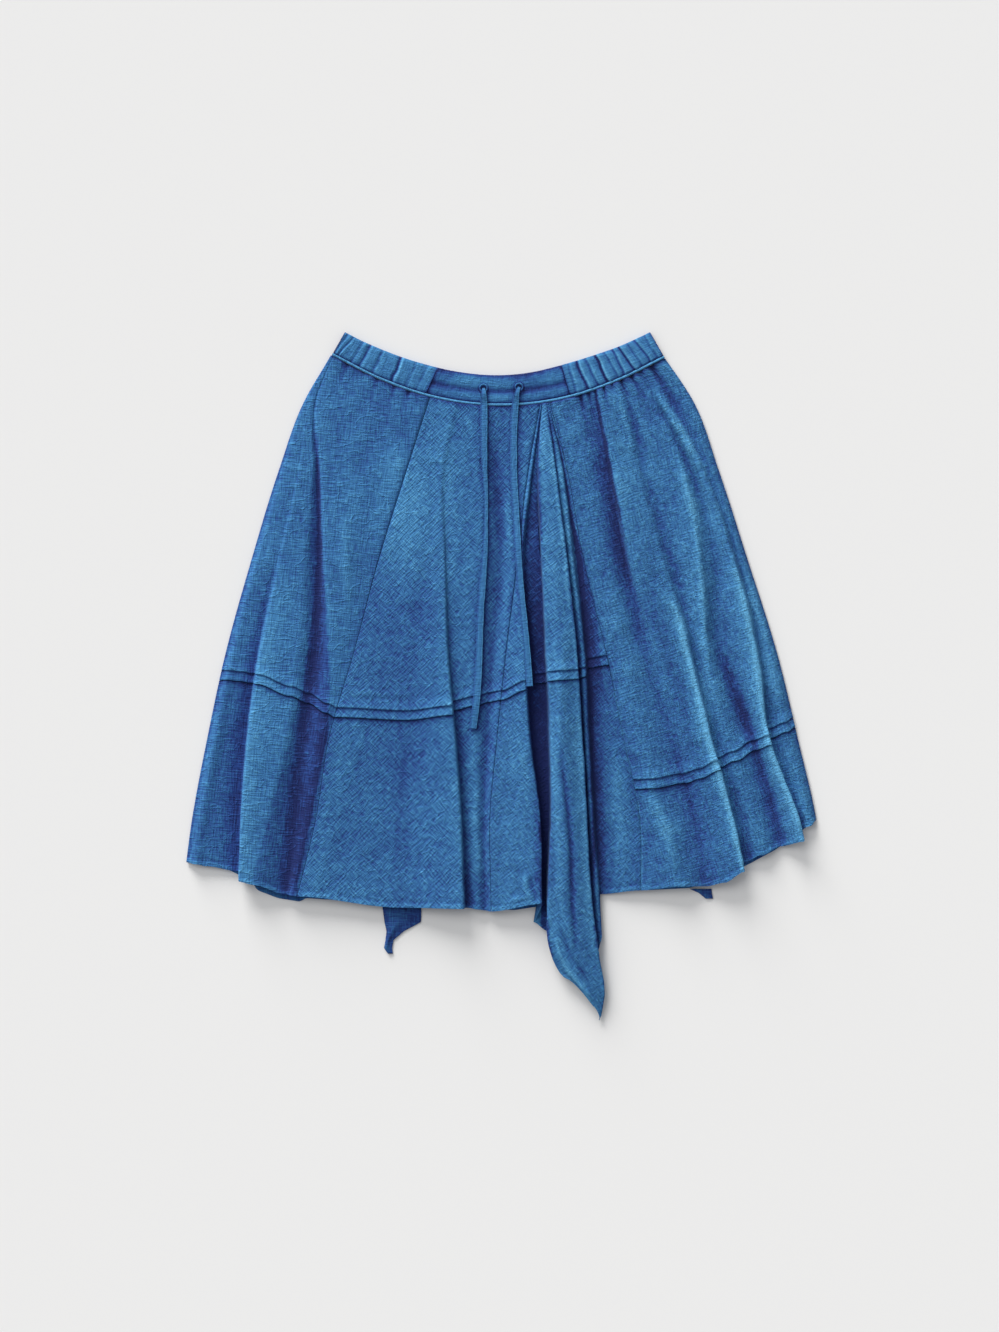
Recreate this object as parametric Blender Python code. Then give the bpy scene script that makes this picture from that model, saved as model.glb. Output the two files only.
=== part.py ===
"""A drawstring skirt laid flat on its back, front panels up, built from named cloth pieces.

Places are read on a laying-out sheet, in its own units: across from the sheet's left edge and down
from its top edge. Heights are millimetres above the surface that the skirt lies on, to the middle
of the cloth's wall. The front is a set of fold lines that run from the waist seam to the hem; the
cloth passes smoothly from each line to the next, so a crest, a hollow or a pleat is one row of FOLDS.
"""

import math
from collections import namedtuple
from functools import lru_cache

import bpy
import numpy as np

MM = 0.001
SHEET_UNIT = 1.035
SHEET_MIDDLE_ACROSS = 501.25
SHEET_MIDDLE_DOWN = 676.5
CLOTH = 1.2
GAP = 0.3
TUCK_DEPTH = 9.6
TUCK_RISE = 1.5
TUCK_DROP = 0.8
TIER_GAP = 0.5
BAND_CLOTH = 2.6
BAND_FRONT_FLOOR = BAND_CLOTH + GAP
BAND_EDGE_DROP = 0.9
GROOVE_DEPTH = 0.7
GROOVE_AT = 0.6
GROOVE_WIDTH = 0.1
PIPING = 2.2
PIPING_LIFT = 0.4
STRING_WIDTH = 7.0
STRING_CLOTH = 1.8
EYELET_RADIUS = 3.4
EYELET_CORD = 1.0

CLOTH_BLUE = (0.045, 0.135, 0.34, 1.0)
TRIM_BLUE = (0.05, 0.15, 0.36, 1.0)

# How far down the sheet the columns of FOLDS and TAIL are read.
ACROSS_AT = (355, 400, 470, 560, 650, 740, 820, 890)
HEIGHT_AT = (375, 560, 740, 890)
ROLL_AT = (480, 740)
TAIL_AT = (955, 995, 1020)
# A crest's lean starts here, and has grown to its full size this much further down.
ROLL_START = 400
ROLL_GROWTH = 80

# across: where the line is seen from above at each of ACROSS_AT.
# height: how high it stands at each of HEIGHT_AT.
# roll: how far its crest leans to the right at each of ROLL_AT, negative to the left.
# tuck and hem: how far down the tier seam and the hem cross it.
# columns: grid columns from this line to the next.
Fold = namedtuple("Fold", "name across height roll tuck hem columns")
FOLDS = [
    Fold("side_left", (331.5, 305, 279, 251.5, 226.5, 207, 192, 183),
         (2.4, 2.1, 2.1, 2.1), (0, 0), 680, 862, 3),
    Fold("left_round", (332, 308, 286, 259, 235, 216, 202, 193),
         (3.5, 7, 7, 6.5), (0, 0), 680, 864, 2),
    Fold("left_hollow", (332.3, 310, 292, 269, 246, 226, 212, 204),
         (3.6, 7.5, 5, 5), (0, 0), 681, 866, 3),
    Fold("left_flap_fold", (332.7, 311, 298, 277, 257, 241, 237.5, 238),
         (3.7, 7, 3, 2.6), (0, 0), 683, 871, 2),
    Fold("left_flap", (333, 311.5, 301, 282, 262, 245.5, 241, 240.5),
         (3.8, 9.5, 15, 15), (0, -6), 684, 881, 3),
    Fold("left_flap_back", (333.5, 313, 308, 298, 292, 281, 264, 252),
         (3.8, 8, 13, 14), (0, 0), 696, 884, 3),
    Fold("left_pleat", (334, 314, 314, 315, 311, 302, 295, 287),
         (3.6, 2.6, 2.4, 2.4), (0, 0), 703, 894, 3),
    Fold("left_pleat_edge", (335, 317.5, 320.5, 324, 331, 324, 310, 294),
         (4.2, 12, 13, 11), (-5, -2), 713, 895, 14),
    Fold("seam_left", (444, 429.5, 407, 379, 355, 329, 316, 299),
         (4.4, 8, 12.5, 10.5), (0, 0), 717, 896, 5),
    Fold("centre_swell", (460, 450, 436, 425, 415, 405, 400, 400),
         (4.6, 10, 10, 9), (0, 0), 720, 907, 3),
    Fold("centre_pleat_edge", (466, 456, 441, 443.5, 446, 454.5, 461, 463),
         (4.4, 11, 16, 17), (1, 6), 715, 908, 4),
    Fold("centre_pleat", (471, 461, 447, 447, 449, 457, 463.5, 465.5),
         (4.2, 6.5, 3.6, 3), (0, 0), 710, 907, 3),
    Fold("left_string_swell", (486, 483, 480, 480, 476, 476, 476, 478),
         (4.6, 8.5, 8, 8), (0, 0), 705.5, 909, 3),
    Fold("between_strings", (499, 498, 497, 500, 492, 487, 484, 485),
         (4.2, 3.8, 5, 5.5), (0, 0), 702, 910, 4),
    Fold("seam_godet_left", (550, 541.5, 529, 518, 506.5, 497, 490, 491),
         (4.2, 9, 10, 9), (0, 0), 700, 911, 3),
    Fold("godet_left_edge", (549.5, 542, 531, 521, 523.5, 528.5, 539.5, 541),
         (4.2, 12, 16, 15), (0.5, 6), 690, 903, 3),
    Fold("godet_fold_left", (549, 542.5, 532.5, 525, 526, 532, 540, 538),
         (4, 2.3, 2.2, 2.2), (0, 0), 684, 922, 2),
    Fold("godet_fold_right", (548, 543, 537, 541, 544, 548, 549, 546),
         (4, 2.3, 2.2, 2.2), (0, 0), 683, 931, 3),
    Fold("tail_left_edge", (546, 543.3, 540, 543, 546, 551, 551, 547),
         (4.4, 17, 20, 16), (-3, -6), 681, 978, 3),
    Fold("tail_middle", (542, 544.3, 547, 553, 560, 560, 566, 570),
         (4.6, 17.5, 23, 19), (0, 0), 680, 1006, 3),
    Fold("tail_right_edge", (537, 545, 554.5, 566, 575.5, 581, 585.5, 589.5),
         (4.4, 16, 17, 15), (3, 6), 679, 1020, 3),
    Fold("tail_under", (537.5, 545.6, 555.5, 567, 576.5, 582.5, 587, 591),
         (4.2, 6, 6, 5), (0, 0), 678, 955, 2),
    Fold("second_edge", (536, 546.5, 561, 571.5, 582.5, 586.5, 591.5, 597),
         (4.2, 11, 11, 9), (1, 3), 677, 941, 3),
    Fold("second_fold", (537, 547.5, 563.5, 576, 586.5, 591, 595.5, 600),
         (4, 2.3, 2.3, 2.3), (0, 0), 668, 894, 3),
    Fold("seam_godet_right", (536, 549, 567, 583.5, 605.5, 624, 640, 641),
         (4.2, 7.5, 7, 6), (0, 0), 665, 890, 4),
    Fold("right_swell", (553, 567, 584, 606, 622, 640, 660, 680),
         (4.6, 10, 12, 12), (0, 0), 788, 886, 6),
    Fold("right_pleat", (588, 596, 608.5, 625, 644, 672, 694, 706),
         (3.2, 2.8, 5, 6), (0, 0), 783, 886, 3),
    Fold("right_pleat_edge", (592, 600, 614.5, 632, 664, 690, 712, 726),
         (4.8, 14, 12, 12), (-5, 0), 778, 882, 4),
    Fold("right_flap", (604, 620, 636, 660, 686.5, 709.5, 732, 747),
         (4.8, 10, 17, 17), (0, 6), 770, 871, 4),
    Fold("right_flap_fold", (612, 629, 646, 672, 694, 713, 735, 749),
         (3.8, 5.5, 3.4, 3), (0, 0), 767, 863, 4),
    Fold("right_side_swell", (622, 649, 680, 697, 706, 728, 752, 768),
         (4.6, 11, 9.5, 8), (0, 0), 761, 855, 3),
    Fold("right_side_hollow", (628, 655, 690, 714, 720, 753, 776, 790),
         (3.6, 3.2, 3.2, 4), (0, 0), 750, 846, 4),
    Fold("side_flap", (634, 660, 700, 732, 754, 768, 797, 812),
         (4.8, 12, 15, 14), (0, 6), 745, 841, 4),
    Fold("side_flap_fold", (642, 670, 706, 737.5, 760, 771, 799, 814),
         (3.8, 5, 2.8, 2.5), (0, 0), 738, 829, 3),
    Fold("right_round", (655, 685, 711, 742, 769, 788, 808, 815),
         (4, 7, 7, 6.5), (0, 0), 732, 826, 3),
    Fold("side_right", (662.5, 692.5, 718.5, 747.5, 776, 798, 816, 822),
         (2.4, 2.1, 2.1, 2.1), (0, 0), 727, 820, 0),
]
RIGHT_PANEL_TUCK = 789

# The long corner of the godet, below the other hems.
Tail = namedtuple("Tail", "name across height")
TAIL = [
    Tail("godet_fold_left", (530, 532, 534), (1.8, 1.3, 1)),
    Tail("godet_fold_right", (551, 556, 560), (1.8, 1.3, 1)),
    Tail("tail_left_edge", (552.5, 579, 596), (11, 6, 3)),
    Tail("tail_middle", (574, 590, 598), (14, 9, 4)),
    Tail("tail_right_edge", (598, 604, 599), (12, 8, 3)),
    Tail("tail_under", (597, 600, 601), (3, 2, 1.8)),
    Tail("second_edge", (602, 606, 607), (5, 3, 2)),
]

# Places on the waist seam.
WAIST_SEAM_ACROSS = (331.5, 380, 430, 500, 570, 620, 664.5)
WAIST_SEAM_DOWN = (354, 378.5, 396, 405, 396.5, 379, 357)

# Ripples that the elastic pulls into the cloth below the waist seam.
Gathers = namedtuple("Gathers", "name first last count height reach")
GATHERS = [
    Gathers("left", 340, 428, 7, 1.6, 40),
    Gathers("right", 572, 656, 9, 2.4, 55),
]

# The band, from its left end to its right end: its top edge, and where it meets the waist seam.
Band = namedtuple("Band", "name top_across top_down bottom_across")
BAND = [
    Band("left_end", 345, 332.5, 332.5),
    Band("left_elastic", 367, 343.5, 353),
    Band("left_elastic_end", 402, 357.5, 391),
    Band("flat_start", 438, 368, 426),
    Band("left_string", 470, 373.8, 465),
    Band("middle", 500, 375.5, 500),
    Band("right_string", 530, 372.8, 534),
    Band("flat_end", 561, 365.5, 570),
    Band("right_elastic", 594, 355.5, 606),
    Band("right_elastic_end", 622, 345.5, 638),
    Band("right_end", 650, 332.5, 664),
]
BAND_RUCHES = 9
RUCHE_HEIGHT = 1.1

# The back's hem, where it shows below the front.
BACK_HEM_ACROSS = (187, 225, 256, 280, 320, 381, 422, 470, 515, 560, 600, 650, 689, 712, 745, 775, 816)
BACK_HEM_DOWN = (861, 868, 885, 896, 899, 903, 906, 908, 910, 903, 892, 890, 888, 882, 866, 850, 820)

# The corners of the back's own godets: how far down, the left and right edges, and the fold's height.
Corner = namedtuple("Corner", "down left right height")
BACK_CORNER_LEFT = [
    Corner(906.8, 382.5, 421.5, 3.4),
    Corner(922, 384.5, 421, 4.2),
    Corner(931, 386.5, 404, 4.0),
    Corner(940, 385.5, 393.5, 3.6),
    Corner(948, 384, 392, 3.0),
    Corner(953.5, 388, 393, 2.0),
]
BACK_CORNER_RIGHT = [
    Corner(888.8, 689.5, 711.5, 2.4),
    Corner(893, 699, 711.8, 2.6),
    Corner(898.5, 705.5, 713, 2.0),
]

EYELETS = {"eyelet_left": (483.5, 388.5), "eyelet_right": (519, 387.5)}

# Where each free end of the drawstring lies: across, down, height and share of its full width.
String = namedtuple("String", "across down height share")
STRING_LEFT = [
    String(483.5, 389.5, 8.6, 0.5),
    String(483.8, 394, 9.1, 0.7),
    String(484, 402, 7.3, 0.95),
    String(484, 415, 7.4, 1.0),
    String(484, 440, 7.9, 1.0),
    String(484.5, 465, 8.2, 0.8),
    String(486, 495, 8.2, 0.55),
    String(486, 525, 8.7, 0.55),
    String(485, 555, 9.7, 0.75),
    String(482.5, 585, 10.2, 0.95),
    String(480.5, 615, 10.3, 0.95),
    String(479.5, 645, 10.2, 0.95),
    String(478, 680, 10.7, 1.0),
    String(476, 705, 11.4, 1.0),
    String(473, 728, 10.4, 1.0),
]
STRING_RIGHT = [
    String(518.8, 388.5, 8.6, 0.5),
    String(517, 393, 9.1, 0.7),
    String(515.8, 401, 7.4, 0.95),
    String(514.5, 415, 6.8, 1.0),
    String(513.5, 445, 7.2, 1.0),
    String(514, 480, 8.2, 1.0),
    String(516, 515, 9.7, 0.95),
    String(518, 550, 13.3, 0.95),
    String(520, 580, 14.5, 0.9),
    String(523, 610, 15.1, 0.9),
    String(526, 640, 15.6, 0.9),
    String(528, 665, 15.4, 0.95),
    String(529.5, 686, 15.5, 0.95),
]
STRING_POINTS = 26
PIPING_POINTS = 45
TUBE_ROUNDNESS = 2
EYELET_SIDES = (20, 6)

PIECES = [
    # name, first fold line, last fold line
    ("front_side", "side_left", "seam_left"),
    ("front_centre", "seam_left", "seam_godet_left"),
    ("godet", "seam_godet_left", "seam_godet_right"),
    ("front_right", "seam_godet_right", "side_right"),
]
SEAM_GAPS = {"seam_godet_right": 0.8}
UPPER_ROWS = (0, 0.04, 0.1, 0.17, 0.25, 0.35, 0.46, 0.57, 0.68, 0.79, 0.9, 1)
BAND_ROWS = (0, 0.14, 0.36, 0.6, 0.86, 1)
LOWER_ROWS = (0, 0.13, 0.27, 0.41, 0.55, 0.7, 0.85, 1)
BACK_ROWS = 11

# A column's place on the waist seam is found by stepping from this guess onto the seam.
SEAM_GUESS = 390.0
SEAM_STEPS = 12
NORMAL_STEP = 0.02

LINE = {fold.name: index for index, fold in enumerate(FOLDS)}
TAIL_OF = {tail.name: tail for tail in TAIL}


def smooth_step(share):
    return share * share * (3 - 2 * share)


def read_smooth(places, values, at):
    """The smooth curve through values at places, read at any place and straight past both ends."""
    places, values, at = (np.asarray(item, float) for item in (places, values, at))
    slopes = np.gradient(values, places)
    start = np.clip(np.searchsorted(places, at) - 1, 0, len(places) - 2)
    span = places[start + 1] - places[start]
    share = np.clip((at - places[start]) / span, 0, 1)
    rise = smooth_step(share)
    leave = share * (1 - share) ** 2 * span * slopes[start]
    arrive = share**2 * (1 - share) * span * slopes[start + 1]
    inside = values[start] * (1 - rise) + values[start + 1] * rise + leave - arrive
    before = np.minimum(at - places[0], 0) * slopes[0]
    after = np.maximum(at - places[-1], 0) * slopes[-1]
    return inside + before + after


def on_surface(across, down, height):
    """A place on the sheet as x, y and z in millimetres from the middle of what the skirt lies on."""
    x = SHEET_UNIT * (np.asarray(across, float) - SHEET_MIDDLE_ACROSS)
    y = SHEET_UNIT * (SHEET_MIDDLE_DOWN - np.asarray(down, float))
    return np.stack(np.broadcast_arrays(x, y, np.asarray(height, float)), axis=-1)


def waist_seam(across):
    return read_smooth(WAIST_SEAM_ACROSS, WAIST_SEAM_DOWN, across)


def line_across(index, down):
    fold = FOLDS[index]
    if fold.name in TAIL_OF:
        return read_smooth(ACROSS_AT + TAIL_AT, fold.across + TAIL_OF[fold.name].across, down)
    return read_smooth(ACROSS_AT, fold.across, down)


def line_height(index, down):
    fold = FOLDS[index]
    if fold.name in TAIL_OF:
        return read_smooth(HEIGHT_AT + TAIL_AT, fold.height + TAIL_OF[fold.name].height, down)
    return np.interp(down, HEIGHT_AT, fold.height)


def line_roll(index, down):
    """The lean of a crest, which grows from nothing a little below the waist seam."""
    grown = np.clip((down - ROLL_START) / ROLL_GROWTH, 0, 1)
    return grown * np.interp(down, ROLL_AT, FOLDS[index].roll)


@lru_cache(maxsize=None)
def column_waist(index, share):
    """How far across and down a grid column meets the waist seam."""
    down = SEAM_GUESS
    for _ in range(SEAM_STEPS):
        across = (1 - share) * line_across(index, down) + share * line_across(index + 1, down)
        down = float(waist_seam(across))
    return float(across), down


def below_piping(across):
    """How far below the waist seam a panel starts, so that it clears the piping."""
    slope = waist_seam(across + 1) - waist_seam(across)
    return (PIPING / 2 + GAP) / SHEET_UNIT * math.hypot(1, slope)


def between(index, share, values):
    """A value that passes smoothly from a fold line to the next."""
    rise = smooth_step(share)
    return values[index] * (1 - rise) + values[index + 1] * rise


def gather_ripple(waist_across, below):
    """Ripples under the elastic: whole waves side by side, dying away down the cloth."""
    ripple = 0.0
    for gathers in GATHERS:
        place = (waist_across - gathers.first) / (gathers.last - gathers.first)
        inside = (place > 0) & (place < 1)
        wave = np.sin(math.pi * gathers.count * place) ** 2 - 0.5
        ripple = ripple + inside * gathers.height * wave * np.exp(-below / gathers.reach)
    return ripple


def cloth_middle(index, share, down):
    """The middle of the cloth between two fold lines, share of the way across, as x, y and z."""
    rise = smooth_step(share)
    left, right = line_across(index, down), line_across(index + 1, down)
    lean_left, lean_right = line_roll(index, down), line_roll(index + 1, down)
    across = (1 - share) * (left - lean_left) + share * (right - lean_right)
    across = across + (1 - rise) * lean_left + rise * lean_right
    height = (1 - rise) * line_height(index, down) + rise * line_height(index + 1, down)
    waist_across, waist_down = column_waist(index, share)
    height = height + gather_ripple(waist_across, np.maximum(down - waist_down, 0))
    return on_surface(across, down, height)


def cloth_normal(index, share, down):
    """The cloth's outward direction, from two short steps across and down it."""
    low, high = max(share - NORMAL_STEP, 0), min(share + NORMAL_STEP, 1)
    sideways = cloth_middle(index, high, down) - cloth_middle(index, low, down)
    downwards = cloth_middle(index, share, down + 1) - cloth_middle(index, share, down - 1)
    normal = np.cross(downwards, sideways)
    normal[[0, -1], 1] = 0
    return normal / np.linalg.norm(normal, axis=-1, keepdims=True)


def piece_columns(first, last):
    """Every grid column from one fold line to another, as (fold line, share of the way on)."""
    columns = []
    for index in range(LINE[first], LINE[last]):
        count = FOLDS[index].columns
        columns += [(index, step / count) for step in range(count)]
    return columns + [(LINE[last] - 1, 1.0)]


def piece_wall(columns, rows_of, relief_of, gaps):
    """The outer and inner points of a front piece: one line of points for each column."""
    outer, inner = [], []
    for number, (index, share) in enumerate(columns):
        down = rows_of(index, share)
        middle = cloth_middle(index, share, down)
        normal = cloth_normal(index, share, down)
        if number == 0:
            middle[:, 0] += gaps[0] / 2
        if number == len(columns) - 1:
            middle[:, 0] -= gaps[1] / 2
        relief = relief_of(down)[:, None] * np.array([0, 0, 1])
        outer.append(middle + normal * CLOTH / 2 + relief)
        inner.append(middle - normal * CLOTH / 2)
    return np.array(outer), np.array(inner)


def wall_mesh(name, outer, inner, colour):
    """One closed wall from two grids of points of the same size."""
    columns, rows = outer.shape[:2]
    count = columns * rows
    faces = []
    for i in range(columns - 1):
        for j in range(rows - 1):
            a, b, c, d = i * rows + j, i * rows + j + 1, (i + 1) * rows + j + 1, (i + 1) * rows + j
            faces.append((a, b, c, d))
            faces.append((count + d, count + c, count + b, count + a))
    rim = [i * rows for i in range(columns)]
    rim += [(columns - 1) * rows + j for j in range(1, rows)]
    rim += [i * rows + rows - 1 for i in range(columns - 2, -1, -1)]
    rim += [j for j in range(rows - 2, 0, -1)]
    for a, b in zip(rim, rim[1:] + rim[:1]):
        faces.append((a, b, count + b, count + a))
    points = np.concatenate([outer.reshape(-1, 3), inner.reshape(-1, 3)]) * MM
    return add_mesh(name, points, faces, colour)


def add_mesh(name, points, faces, colour):
    mesh = bpy.data.meshes.new(name)
    mesh.from_pydata([tuple(point) for point in points], [], faces)
    mesh.validate()
    mesh.shade_smooth()
    mesh.set_sharp_from_angle(angle=math.radians(50))
    mesh.materials.append(cloth_material(colour))
    piece = bpy.data.objects.new(name, mesh)
    bpy.context.scene.collection.objects.link(piece)
    return piece


def cloth_material(colour):
    name = "cloth_blue" if colour == CLOTH_BLUE else "trim_blue"
    if name in bpy.data.materials:
        return bpy.data.materials[name]
    material = bpy.data.materials.new(name)
    material.use_nodes = True
    shader = material.node_tree.nodes["Principled BSDF"]
    shader.inputs["Base Color"].default_value = colour
    shader.inputs["Roughness"].default_value = 0.85
    shader.inputs["Metallic"].default_value = 0.0
    return material


def plain_relief(down):
    return np.zeros_like(down)


def tuck_relief(down):
    """Two tucks that lie like shingles: the cloth thickens to each one's lower edge, then drops."""
    rise = np.zeros_like(down)
    rise[[-3, -1]] = TUCK_RISE
    return rise


def front_piece(name, first, last):
    """The upper tier of a panel, which ends in two tucks, and the lower tier under it."""
    columns = piece_columns(first, last)
    gaps = (SEAM_GAPS.get(first, GAP), SEAM_GAPS.get(last, GAP))
    tucks = [fold.tuck for fold in FOLDS]
    hems = [fold.hem for fold in FOLDS]
    if first == "seam_godet_right":
        tucks[LINE[first]] = RIGHT_PANEL_TUCK

    def upper_rows(index, share):
        across, seam = column_waist(index, share)
        top = seam + below_piping(across)
        tuck = between(index, share, tucks)
        plain_end = tuck - 2 * TUCK_DEPTH
        cloth = top + (plain_end - top) * np.array(UPPER_ROWS)
        return np.append(cloth, [tuck - TUCK_DEPTH - TUCK_DROP / 2, tuck - TUCK_DEPTH + TUCK_DROP, tuck])

    def lower_rows(index, share):
        top = between(index, share, tucks) + TIER_GAP
        return top + (between(index, share, hems) - top) * np.array(LOWER_ROWS)

    wall_mesh(name + "_upper", *piece_wall(columns, upper_rows, tuck_relief, gaps), CLOTH_BLUE)
    wall_mesh(name + "_lower", *piece_wall(columns, lower_rows, plain_relief, gaps), CLOTH_BLUE)


def band_edges(places):
    """The band's top and bottom edge at places counted in rows of BAND."""
    counted = range(len(BAND))
    across, down, bottom = (read_smooth(counted, [row[k] for row in BAND], places) for k in (1, 2, 3))
    return on_surface(across, down, 0)[:, :2], on_surface(bottom, waist_seam(bottom), 0)[:, :2]


def band_piece(name, first, last, columns, floor, relief_of):
    """A stretch of the band: a slab between its two edges, its outer face raised by relief_of."""
    row_of = {row.name: index for index, row in enumerate(BAND)}
    places = np.linspace(row_of[first], row_of[last], columns + 1)
    top, bottom = band_edges(places)
    along = np.gradient(top, axis=0)
    along /= np.linalg.norm(along, axis=1, keepdims=True)
    for edge in (top, bottom):
        edge[0] += along[0] * GAP / 2
        edge[-1] -= along[-1] * GAP / 2
    heights = np.array(BAND_ROWS)
    inset = (PIPING / 2 + GAP) / np.linalg.norm(top - bottom, axis=1)
    outer, inner = [], []
    for number in range(columns + 1):
        share = heights * (1 - inset[number])
        flat = top[number] * (1 - share[:, None]) + bottom[number] * share[:, None]
        rise = relief_of(number / columns, heights)
        outer.append(np.column_stack([flat, floor + BAND_CLOTH + rise]))
        inner.append(np.column_stack([flat, np.full(len(heights), floor)]))
    wall_mesh(name, np.array(outer), np.array(inner), TRIM_BLUE)


def rounded_edges(heights):
    """The band is fullest between its edges."""
    return -BAND_EDGE_DROP * np.abs(2 * heights - 1) ** 6


def flat_relief(along, heights):
    """The tunnel of the drawstring stands a little proud, with a groove under it."""
    groove = GROOVE_DEPTH * np.exp(-(((heights - GROOVE_AT) / GROOVE_WIDTH) ** 2))
    return rounded_edges(heights) - groove


def ruched_relief(along, heights):
    """Upright ruches, a whole number of them, with narrow hollows between broad crests."""
    wave = np.abs(math.sin(math.pi * BAND_RUCHES * along)) ** 0.7
    return rounded_edges(heights) + RUCHE_HEIGHT * (wave - 0.6)


def back_relief(along, heights):
    return np.zeros_like(heights)


def piping():
    """The rolled edge along the front of the waist seam."""
    _, bottom = band_edges(np.linspace(0, len(BAND) - 1, PIPING_POINTS))
    heights = np.full(PIPING_POINTS, BAND_FRONT_FLOOR + PIPING / 2 + PIPING_LIFT)
    route = np.column_stack([bottom, heights]) * MM
    tube("waist_piping", route, PIPING / 2 * MM, 0, np.ones(PIPING_POINTS))


def tube(name, route, round_radius, flat_half, shares):
    """A curve object with filled caps. With flat_half it is a flat strap with round edges."""
    curve = bpy.data.curves.new(name, "CURVE")
    curve.dimensions = "3D"
    curve.twist_mode = "Z_UP"
    curve.bevel_depth = round_radius
    curve.bevel_resolution = TUBE_ROUNDNESS
    curve.extrude = flat_half
    curve.use_fill_caps = True
    spline = curve.splines.new("POLY")
    spline.points.add(len(route) - 1)
    for point, place, share in zip(spline.points, route, shares):
        point.co = (*place, 1.0)
        point.radius = share
        point.tilt = math.pi / 2 if flat_half else 0.0
    curve.materials.append(cloth_material(TRIM_BLUE))
    piece = bpy.data.objects.new(name, curve)
    bpy.context.scene.collection.objects.link(piece)
    return piece


def drawstring(name, rows):
    """A free end of the flat drawstring, on a smooth curve through its route's points."""
    route = np.array([(row.across, row.down, row.height) for row in rows])
    steps = np.linalg.norm(np.diff(route, axis=0), axis=1)
    along = np.concatenate([[0], np.cumsum(steps)])
    at = np.linspace(0, along[-1], STRING_POINTS)
    across, down, height = (read_smooth(along, route[:, k], at) for k in range(3))
    places = on_surface(across, down, height) * MM
    shares = np.interp(at, along, [row.share for row in rows])
    round_radius = STRING_CLOTH / 2 * MM
    tube(name, places, round_radius, STRING_WIDTH / 2 * MM - round_radius, shares)


def eyelet(name, across, down):
    """A worked eyelet: a ring that stands on the band."""
    height = BAND_FRONT_FLOOR + BAND_CLOTH + EYELET_CORD + GAP
    bpy.ops.mesh.primitive_torus_add(
        major_segments=EYELET_SIDES[0],
        minor_segments=EYELET_SIDES[1],
        major_radius=EYELET_RADIUS * MM,
        minor_radius=EYELET_CORD * MM,
        location=tuple(on_surface(across, down, height) * MM),
    )
    ring = bpy.context.object
    ring.name = name
    ring.data.materials.append(cloth_material(TRIM_BLUE))
    ring.data.shade_smooth()


def back_panel():
    """The back, flat on the surface, from the band to the back's own hem."""
    left_waist, right_waist = column_waist(0, 0.0)[0], column_waist(len(FOLDS) - 2, 1.0)[0]
    hem_across = np.array(BACK_HEM_ACROSS, float)
    shares = (hem_across - hem_across[0]) / (hem_across[-1] - hem_across[0])
    outer = []
    for number, share in enumerate(shares):
        hem = BACK_HEM_DOWN[number]
        across = left_waist * (1 - share) + right_waist * share
        top = float(waist_seam(across)) + below_piping(across)
        rows = np.linspace(0, 1, BACK_ROWS)
        down = top + (hem - top) * rows
        left, right = line_across(0, down), line_across(LINE["side_right"], down)
        left, right = left + GAP, right - GAP
        place = left * (1 - share) + right * share
        drift = (hem_across[number] - place[-1]) * rows**3
        outer.append(on_surface(place + drift, down, CLOTH))
    outer = np.array(outer)
    inner = outer.copy()
    inner[:, :, 2] = 0
    wall_mesh("back", outer, inner, CLOTH_BLUE)


def back_corner(name, rows):
    """A corner of the back's godet, with one soft fold along its left third."""
    across_shares = (0, 0.15, 0.35, 0.6, 1)
    rises = (0, 0.9, 1.0, 0.25, 0)
    outer = []
    for share, rise in zip(across_shares, rises):
        points = []
        for row in rows:
            across = row.left + (row.right - row.left) * share
            height = CLOTH + (row.height - CLOTH) * rise
            points.append(on_surface(across, row.down, height))
        outer.append(points)
    outer = np.array(outer)
    inner = outer.copy()
    inner[:, :, 2] -= CLOTH
    wall_mesh(name, outer, inner, CLOTH_BLUE)


def clear_scene():
    for old in list(bpy.data.objects):
        bpy.data.objects.remove(old, do_unlink=True)


def build():
    clear_scene()
    for name, first, last in PIECES:
        front_piece(name, first, last)
    back_panel()
    back_corner("back_corner_left", BACK_CORNER_LEFT)
    back_corner("back_corner_right", BACK_CORNER_RIGHT)
    band_piece("band_front", "flat_start", "flat_end", 14, BAND_FRONT_FLOOR, flat_relief)
    band_piece("band_elastic_left", "left_end", "flat_start", 27, BAND_FRONT_FLOOR, ruched_relief)
    band_piece("band_elastic_right", "flat_end", "right_end", 27, BAND_FRONT_FLOOR, ruched_relief)
    band_piece("band_back", "left_end", "right_end", 20, 0, back_relief)
    piping()
    for name, (across, down) in EYELETS.items():
        eyelet(name, across, down)
    drawstring("drawstring_left", STRING_LEFT)
    drawstring("drawstring_right", STRING_RIGHT)


build()
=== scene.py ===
import math

import bpy
import numpy as np
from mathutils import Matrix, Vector


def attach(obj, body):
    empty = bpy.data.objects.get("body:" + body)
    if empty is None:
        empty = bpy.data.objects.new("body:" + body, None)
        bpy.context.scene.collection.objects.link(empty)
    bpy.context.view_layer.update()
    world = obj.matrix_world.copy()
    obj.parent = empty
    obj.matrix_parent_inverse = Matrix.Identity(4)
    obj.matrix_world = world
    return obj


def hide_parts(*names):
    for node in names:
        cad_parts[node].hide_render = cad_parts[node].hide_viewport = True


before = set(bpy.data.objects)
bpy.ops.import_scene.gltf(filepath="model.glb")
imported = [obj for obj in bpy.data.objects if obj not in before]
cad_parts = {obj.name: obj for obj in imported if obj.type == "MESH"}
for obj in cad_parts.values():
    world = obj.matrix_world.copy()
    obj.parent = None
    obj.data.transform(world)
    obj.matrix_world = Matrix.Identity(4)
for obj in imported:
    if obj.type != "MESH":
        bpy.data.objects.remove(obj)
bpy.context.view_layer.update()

print("stage: frame loaded")

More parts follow.
